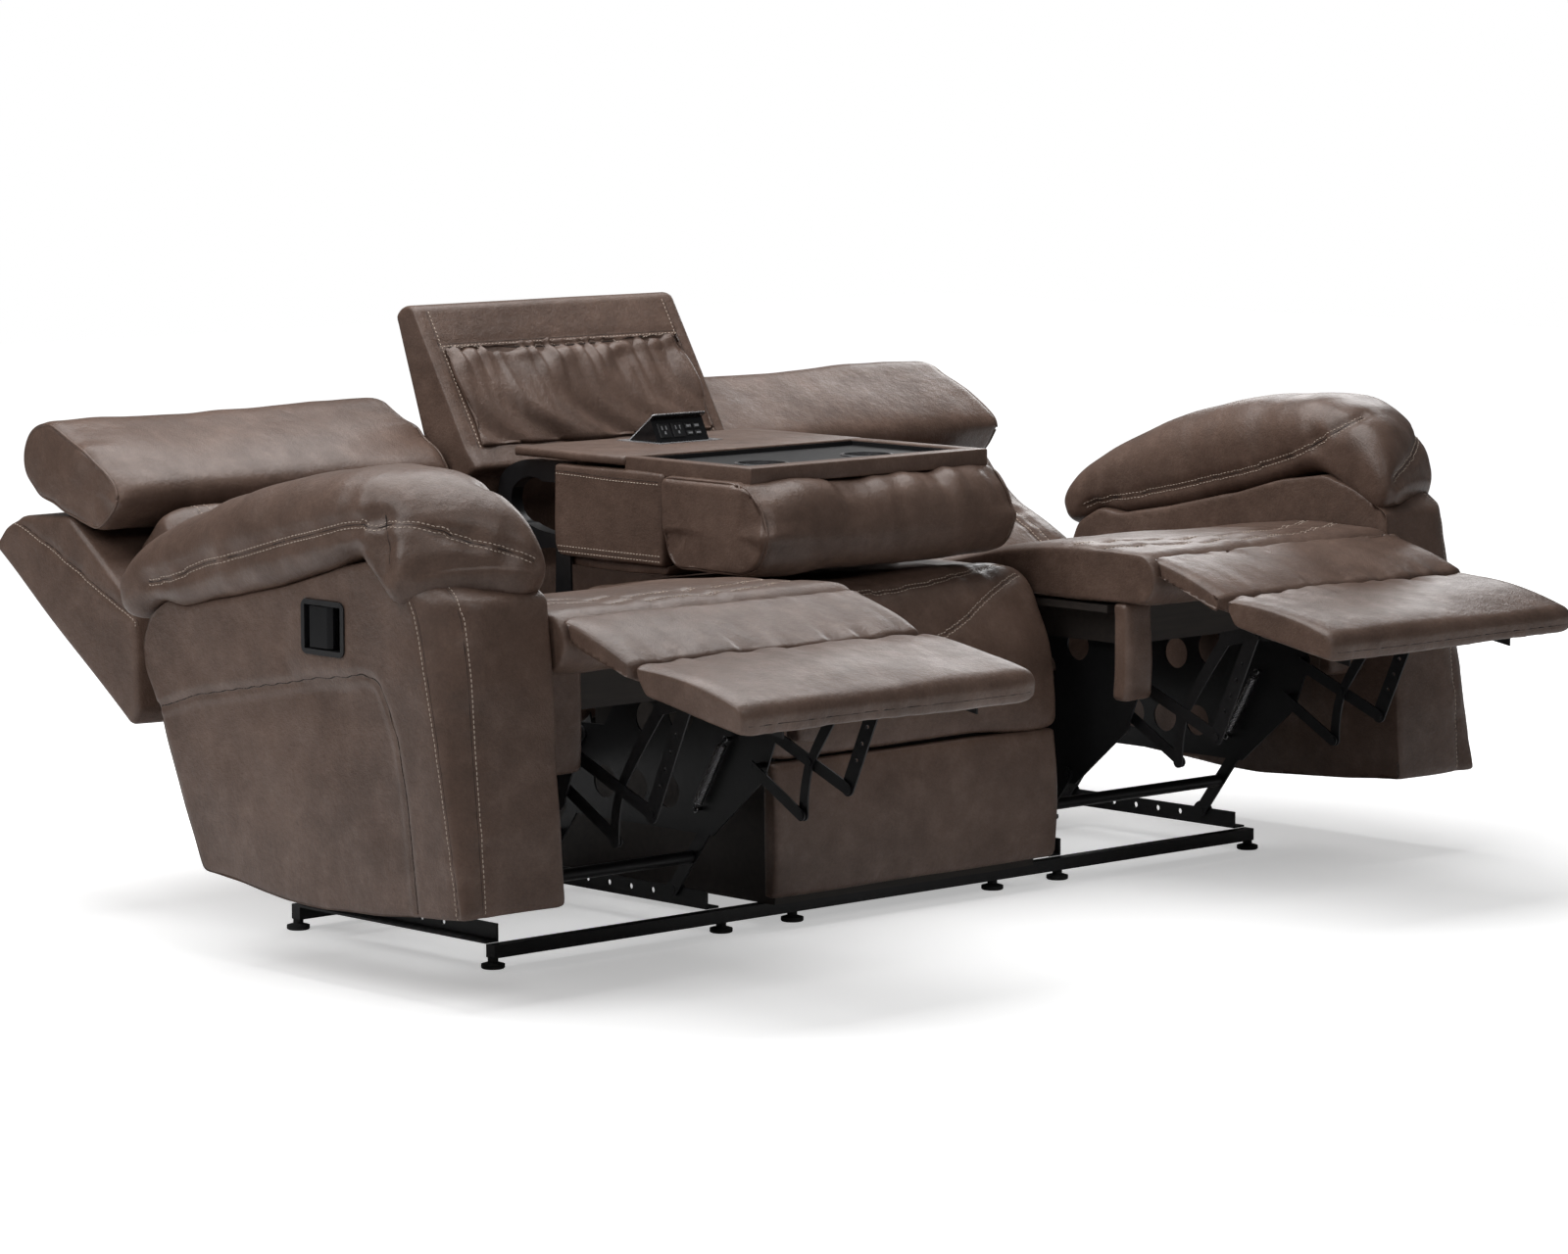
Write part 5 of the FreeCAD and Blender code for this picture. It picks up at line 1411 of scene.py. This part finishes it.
def on_flap(x, along, above):
    """A place on the outlet's lid, from its hinge: metres across, millimetres along and above it."""
    cos, sin = math.cos(FLAP_LEAN), math.sin(FLAP_LEAN)
    return at(x, FLAP_AXIS[0] - along * cos + above * sin, FLAP_AXIS[1] + along * sin + above * cos)


def face_block(x0, x1, drop0, drop1, out0, out1):
    """A block on the outlet's front face, between drops below the lid and distances out of it."""
    top, foot = np.array(on_flap(0, 72, 1)), np.array(on_flap(0, 63, -50))
    down = (foot - top) / np.linalg.norm(foot - top)
    out = np.cross(down, (1, 0, 0))
    if out[1] > 0:
        out = -out
    points = [top + np.array((x, 0, 0)) + down * drop + out * far
              for x in (x0, x1) for drop in (drop0, drop1) for far in (out0, out1)]
    skin = Skin(np.array(points), BLOCK_FACES, [])
    if (skin.normals()[0] @ (skin.points[0] - skin.points.mean(axis=0))) < 0:
        skin = Skin(skin.points, skin.quads[:, ::-1], [])
    return skin


# The middles, across the outlet, of its two power sockets and its two pairs of charging sockets.
POWER_SOCKETS = (-0.034, -0.004)
CHARGING_SOCKETS = (0.020, 0.038)
# Each raised face and each slot: from its left to its right, and how far below the lid it starts
# and ends.
POWER_FACES = [(-0.0125, 0.0125, 0.007, 0.033)]
CHARGING_FACES = [(-0.0065, 0.0065, 0.010, 0.019), (-0.0065, 0.0065, 0.023, 0.031)]
POWER_SLOTS = [(-0.0055, -0.0035, 0.012, 0.019), (0.0035, 0.0055, 0.012, 0.019),
               (-0.0018, 0.0018, 0.022, 0.027)]
CHARGING_SLOTS = [(-0.0045, 0.0045, 0.0125, 0.0165), (-0.0045, 0.0045, 0.0255, 0.0285)]


def face_blocks(middles, shapes, near, far):
    """Blocks of these shapes round each middle, between two distances out of the outlet's face."""
    return [face_block(x + left, x + right, top, low, near, far)
            for x in middles for left, right, top, low in shapes]


def outlet_details():
    """Faces of the sockets and a silver edge round the outlet's lid."""
    sockets = joined(face_blocks(POWER_SOCKETS, POWER_FACES, -0.001, 0.0016)
                     + face_blocks(CHARGING_SOCKETS, CHARGING_FACES, -0.001, 0.0014))
    slots = joined(face_blocks(POWER_SOCKETS, POWER_SLOTS, 0.0014, 0.0019)
                   + face_blocks(CHARGING_SOCKETS, CHARGING_SLOTS, 0.0012, 0.0017))
    item = add_object("outlet_sockets", sockets, "outlet", "black_plastic", smooth=False)
    add_bevel(item, width=0.0008)
    add_object("outlet_slots", slots, "outlet", "silver_plastic", smooth=False)
    half, near, far, above = 0.0568, 2, 83.2, 4
    ends = ((-half, near), (-half, far), (half, far), (half, near))
    edge = [on_flap(x, along, above) for x, along in ends]
    rim = cord_tube(resampled(edge, 0.004), radius=0.0011, sides=6)
    add_object("outlet_lid_edge", rim, "outlet", "silver_plastic")


# The hooks of a pull spring on its side plate.
SPRING_TOP = (-55, 311)
SPRING_FOOT = (14, 195)


def spring_skin(x):
    """A close-wound pull spring with a hook at each end: a helix about the line between its pins."""
    top, foot = np.array(at(x, *SPRING_TOP)), np.array(at(x, *SPRING_FOOT))
    run = foot - top
    length = np.linalg.norm(run)
    way = run / length
    side_way = np.array((1.0, 0.0, 0.0))
    third = np.cross(way, side_way)
    radius, wire, hook, hook_radius, pitch = 0.0062, 0.0011, 0.012, 0.0046, 0.0030
    turns, steps = int((length - 2 * hook) / pitch), 14
    angle = np.linspace(0, turns * 2 * math.pi, turns * steps)
    far = np.linspace(hook, length - hook, len(angle))
    circle = np.cos(angle)[:, None] * side_way + np.sin(angle)[:, None] * third
    coil = top + way * far[:, None] + radius * circle
    loops = []
    bend = np.linspace(-0.6, 2 * math.pi - 1.2, 22)
    for pin, toward in ((top, 1), (foot, -1)):
        spots = [pin + hook_radius * (math.cos(a) * way * toward + math.sin(a) * third) for a in bend]
        loops.append(spots)
    path = list(reversed(loops[0])) + list(coil) + loops[1]
    return cord_tube(np.array(path), radius=wire, sides=6)


class SofaOperator(bpy.types.Operator):
    """One group of the sofa's pieces"""

    bl_options = {"REGISTER", "UNDO"}

    def build(self):
        """Make the pieces of the group."""
        raise NotImplementedError

    def execute(self, context):
        """Build the group, and report an error before it stops the script."""
        try:
            self.build()
        except (ValueError, KeyError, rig.FrameError) as error:
            self.report({"ERROR"}, str(error))
            raise
        return {"FINISHED"}


class SOFA_OT_finishes(SofaOperator):
    """Make the materials and finish the frame's own parts"""

    bl_idname = "sofa.finishes"
    bl_label = "Finishes"

    def build(self):
        make_materials()
        finish_frame()


class SOFA_OT_footrests(SofaOperator):
    """Cover both ottomans and chaises"""

    bl_idname = "sofa.footrests"
    bl_label = "Footrests"

    def build(self):
        for side in SIDES:
            cover("ottoman", ottoman_skin, "ottoman", ["ottoman_pad", "ottoman_board"], side=side)
            cover("chaise", chaise_skin, "chaise", ["chaise_pad"], side=side)


class SOFA_OT_seats(SofaOperator):
    """Cover both recliner seats"""

    bl_idname = "sofa.seats"
    bl_label = "Seats"

    def build(self):
        for side in SIDES:
            cover("seat", seat_skin, "carriage", ["seat_cushion"], side=side)
            cover("front_pads", front_pads_skin, "carriage", ["seat_cushion"], side=side)


class SOFA_OT_arms(SofaOperator):
    """Cover both arms and their pillows"""

    bl_idname = "sofa.arms"
    bl_label = "Arms"

    def build(self):
        for side in SIDES:
            cover("arm", arm_skin, "carriage", ["arm_panel"], fullness=1.0, side=side)
            cover("arm_pad", arm_pad_skin, "carriage", ["arm_pad"], side=side)


class SOFA_OT_backs(SofaOperator):
    """Cover both backs, with lumbar cushions and headrests"""

    bl_idname = "sofa.backs"
    bl_label = "Backs"

    def build(self):
        for side in SIDES:
            cover("back_cover", back_cover_skin, "back", ["back_frame"], fullness=1.0, side=side)
            cover("lumbar", lumbar_skin, "back", ["lumbar_cushion"], side=side)
            cover("headrest", headrest_skin, "back", ["headrest_roll"], side=side)
            self.add_brackets(side)

    def add_brackets(self, side):
        """The back's hidden board and the two steel ears that it is hinged by."""
        ears = []
        outline = [(-335, 130), (-150, 130), (-150, 168), (-310, 168), (-335, 230), ("via", -349, 236),
                   (-363, 230), (-363, 202)]
        for first, last in ((0.4005, 0.4045), (0.7955, 0.7995)):
            ear = pillow(along_back(outline), first, last, reach=0.0004, depth=0.0004, soft=0.001,
                         cell=0.006)
            ears.append(ear)
        block = along_back([(-333, 131), (118, 131), (118, 167), (-333, 167)])
        board = pillow(block, 0.4055, 0.7945, reach=0.002, depth=0.002, soft=0.001, cell=0.02)
        add_object(side + "_back_ears", sided(joined(ears), side), side + "_back", "black_steel")
        add_object(side + "_back_board", sided(board, side), side + "_back", "frame_wood")


class SOFA_OT_centre(SofaOperator):
    """Cover the middle seat and the shell behind the console"""

    bl_idname = "sofa.centre"
    bl_label = "Middle seat"

    def build(self):
        cover("centre_seat", centre_seat_skin, "base", ["centre_seat_cushion"])
        cover("centre_front", centre_front_skin, "base", ["centre_front_panel"], fullness=1.0)
        cover("shell", shell_skin, "base", ["centre_back_shell"], fullness=1.0)
        cover("inset", inset_skin, "base", ["shell_inset_panel"], fullness=0.6)


class SOFA_OT_console(SofaOperator):
    """Cover the console and add the outlet's details"""

    bl_idname = "sofa.console"
    bl_label = "Console"

    def build(self):
        cover("console_roll", roll_skin, "console", ["console_roll"])
        cover("console_back_pad", back_pad_skin, "console", ["console_back_pad"], fullness=0.9)
        console_cover()
        outlet_details()


class SOFA_OT_springs(SofaOperator):
    """Wind the recliners' pull springs"""

    bl_idname = "sofa.springs"
    bl_label = "Springs"

    def build(self):
        for side in SIDES:
            pair = joined([spring_skin(UNIT_MIDDLE + offset) for offset in (-0.189, 0.189)])
            item = add_object(side + "_spring_coils", sided(pair, side), side + "_carriage",
                              "spring_steel")
            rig.replaces(item, side + "_recliner_springs")


# The photograph's camera: its place in metres, how it is turned in radians, and its lens.
CAMERA_PLACE = (-6.07320, -6.53961, 1.47527)
CAMERA_YAW = 0.7452137
CAMERA_PITCH = 0.1168189
CAMERA_ROLL = -0.0021441
CAMERA_LENS = 127.87


def add_camera():
    """The camera of the photograph: where it stands, how it is turned, and its lens."""
    forward = Vector((math.sin(CAMERA_YAW) * math.cos(CAMERA_PITCH),
                      math.cos(CAMERA_YAW) * math.cos(CAMERA_PITCH), -math.sin(CAMERA_PITCH)))
    right = Vector((math.cos(CAMERA_YAW), -math.sin(CAMERA_YAW), 0))
    up = right.cross(forward)
    cos, sin = math.cos(CAMERA_ROLL), math.sin(CAMERA_ROLL)
    right, up = right * cos + up * sin, up * cos - right * sin
    data = bpy.data.cameras.new("photo_camera")
    data.lens = CAMERA_LENS
    data.sensor_width = 36
    data.clip_end = 60
    camera = bpy.data.objects.new("photo_camera", data)
    turn = Matrix((right, up, -forward)).transposed().to_4x4()
    camera.matrix_world = Matrix.Translation(CAMERA_PLACE) @ turn
    bpy.context.collection.objects.link(camera)
    bpy.context.scene.camera = camera


# Each light: where it stands, where it points, its width and height, and its power in watts.
LIGHTS = {
    "top_light": ((0.0, 0.6, 3.0), (0.0, 0.1, 0.4), (3.4, 2.6), 104),
    "rear_light": ((4.2, 2.6, 2.3), (0.7, -0.6, 0.5), (1.7, 1.4), 36),
    "left_light": ((-2.9, 0.3, 2.6), (-0.8, 0.0, 0.5), (2.2, 2.0), 46),
    "front_light": ((-0.9, -3.2, 3.4), (0.0, 0.2, 0.5), (2.4, 1.6), 27),
}


def add_light(name, place, aim, size, power):
    """A rectangular light that stands at a place and points at another."""
    data = bpy.data.lights.new(name, "AREA")
    data.shape = "RECTANGLE"
    data.size, data.size_y = size
    data.energy = power
    light = bpy.data.objects.new(name, data)
    light.location = place
    light.rotation_euler = (Vector(aim) - Vector(place)).to_track_quat("-Z", "Y").to_euler()
    bpy.context.collection.objects.link(light)


def floor_material():
    """White floor: it takes the sofa's shadow, and glows for the camera alone further out, so that
    it runs into the white background."""
    made = Shader("stage_white", 0.9)
    spread = made.noise(scale=3.0, detail=2.0)
    made.to(made.ramp(spread, [(0.3, (0.87, 0.87, 0.87)), (0.7, (0.90, 0.90, 0.90))]), "Base Color")
    far = made.add("ShaderNodeVectorMath", {0: made.place}, operation="LENGTH").outputs["Value"]
    near_edge, far_edge, least, most = 1.2, 3.2, 0.42, 1.0
    glow = made.range(far, near_edge, far_edge, least, most)
    seen = made.add("ShaderNodeLightPath").outputs["Is Camera Ray"]
    strength = made.add("ShaderNodeMath", {0: glow, 1: seen}, operation="MULTIPLY").outputs["Value"]
    made.to(strength, "Emission Strength")
    made.surface.inputs["Emission Color"].default_value = (1, 1, 1, 1)
    return made.material


def add_floor():
    """The white floor, a square with this half width."""
    half = 12.0
    corners = [(-half, -half, 0), (half, -half, 0), (half, half, 0), (-half, half, 0)]
    mesh = bpy.data.meshes.new("stage_floor")
    mesh.from_pydata(corners, [], [(0, 1, 2, 3)])
    mesh.materials.append(floor_material())
    floor = bpy.data.objects.new("stage_floor", mesh)
    bpy.context.collection.objects.link(floor)
    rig.stage(floor)


def add_world():
    """A white background for the camera, and a faint even light for everything else."""
    world = bpy.data.worlds.new("studio")
    world.use_nodes = True
    tree = world.node_tree
    tree.nodes.clear()
    seen = tree.nodes.new("ShaderNodeLightPath")
    blend = tree.nodes.new("ShaderNodeMixShader")
    tree.links.new(seen.outputs["Is Camera Ray"], blend.inputs[0])
    for socket, strength in ((1, 0.10), (2, 1.0)):
        glow = tree.nodes.new("ShaderNodeBackground")
        glow.inputs["Color"].default_value = (1, 1, 1, 1)
        glow.inputs["Strength"].default_value = strength
        tree.links.new(glow.outputs[0], blend.inputs[socket])
    out = tree.nodes.new("ShaderNodeOutputWorld")
    tree.links.new(blend.outputs[0], out.inputs["Surface"])
    bpy.context.scene.world = world


class SOFA_OT_stage(SofaOperator):
    """Add the white stage, the lights and the photograph's camera"""

    bl_idname = "sofa.stage"
    bl_label = "Stage"

    def build(self):
        add_floor()
        add_camera()
        for name, values in LIGHTS.items():
            add_light(name, *values)
        add_world()
        bpy.context.scene.view_settings.view_transform = "Standard"


OPERATORS = (SOFA_OT_finishes, SOFA_OT_footrests, SOFA_OT_seats, SOFA_OT_arms, SOFA_OT_backs,
             SOFA_OT_centre, SOFA_OT_console, SOFA_OT_springs, SOFA_OT_stage)


class SOFA_PT_panel(bpy.types.Panel):
    """Sidebar panel with the shared sizes and one button for each group"""

    bl_idname = "SOFA_PT_panel"
    bl_label = "Sofa"
    bl_space_type = "VIEW_3D"
    bl_region_type = "UI"
    bl_category = "Sofa"

    def draw(self, context):
        """Lay out the sizes and the buttons."""
        for name in SofaSettings.__annotations__:
            self.layout.prop(context.scene.sofa_settings, name)
        for operator in OPERATORS:
            self.layout.operator(operator.bl_idname)


CLASSES = (SofaSettings,) + OPERATORS + (SOFA_PT_panel,)


def register():
    """Make the add-on's classes and settings known."""
    for item in CLASSES:
        bpy.utils.register_class(item)
    bpy.types.Scene.sofa_settings = bpy.props.PointerProperty(type=SofaSettings)


def unregister():
    """Take the add-on's classes and settings out again."""
    del bpy.types.Scene.sofa_settings
    for item in reversed(CLASSES):
        bpy.utils.unregister_class(item)


def plain(bounds):
    """Two corners as plain lists."""
    return [list(map(float, corner)) for corner in bounds]


def main():
    """Finish the sofa group by group, and write its size before and after."""
    register()
    before = plain(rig.bounds())
    bpy.ops.sofa.finishes()
    bpy.ops.sofa.footrests()
    bpy.ops.sofa.seats()
    bpy.ops.sofa.arms()
    bpy.ops.sofa.backs()
    bpy.ops.sofa.centre()
    bpy.ops.sofa.console()
    bpy.ops.sofa.springs()
    bpy.ops.sofa.stage()
    with open("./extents.json", "w") as file:
        json.dump({"frame": before, "finished": plain(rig.bounds())}, file)


if __name__ == "__main__":
    main()
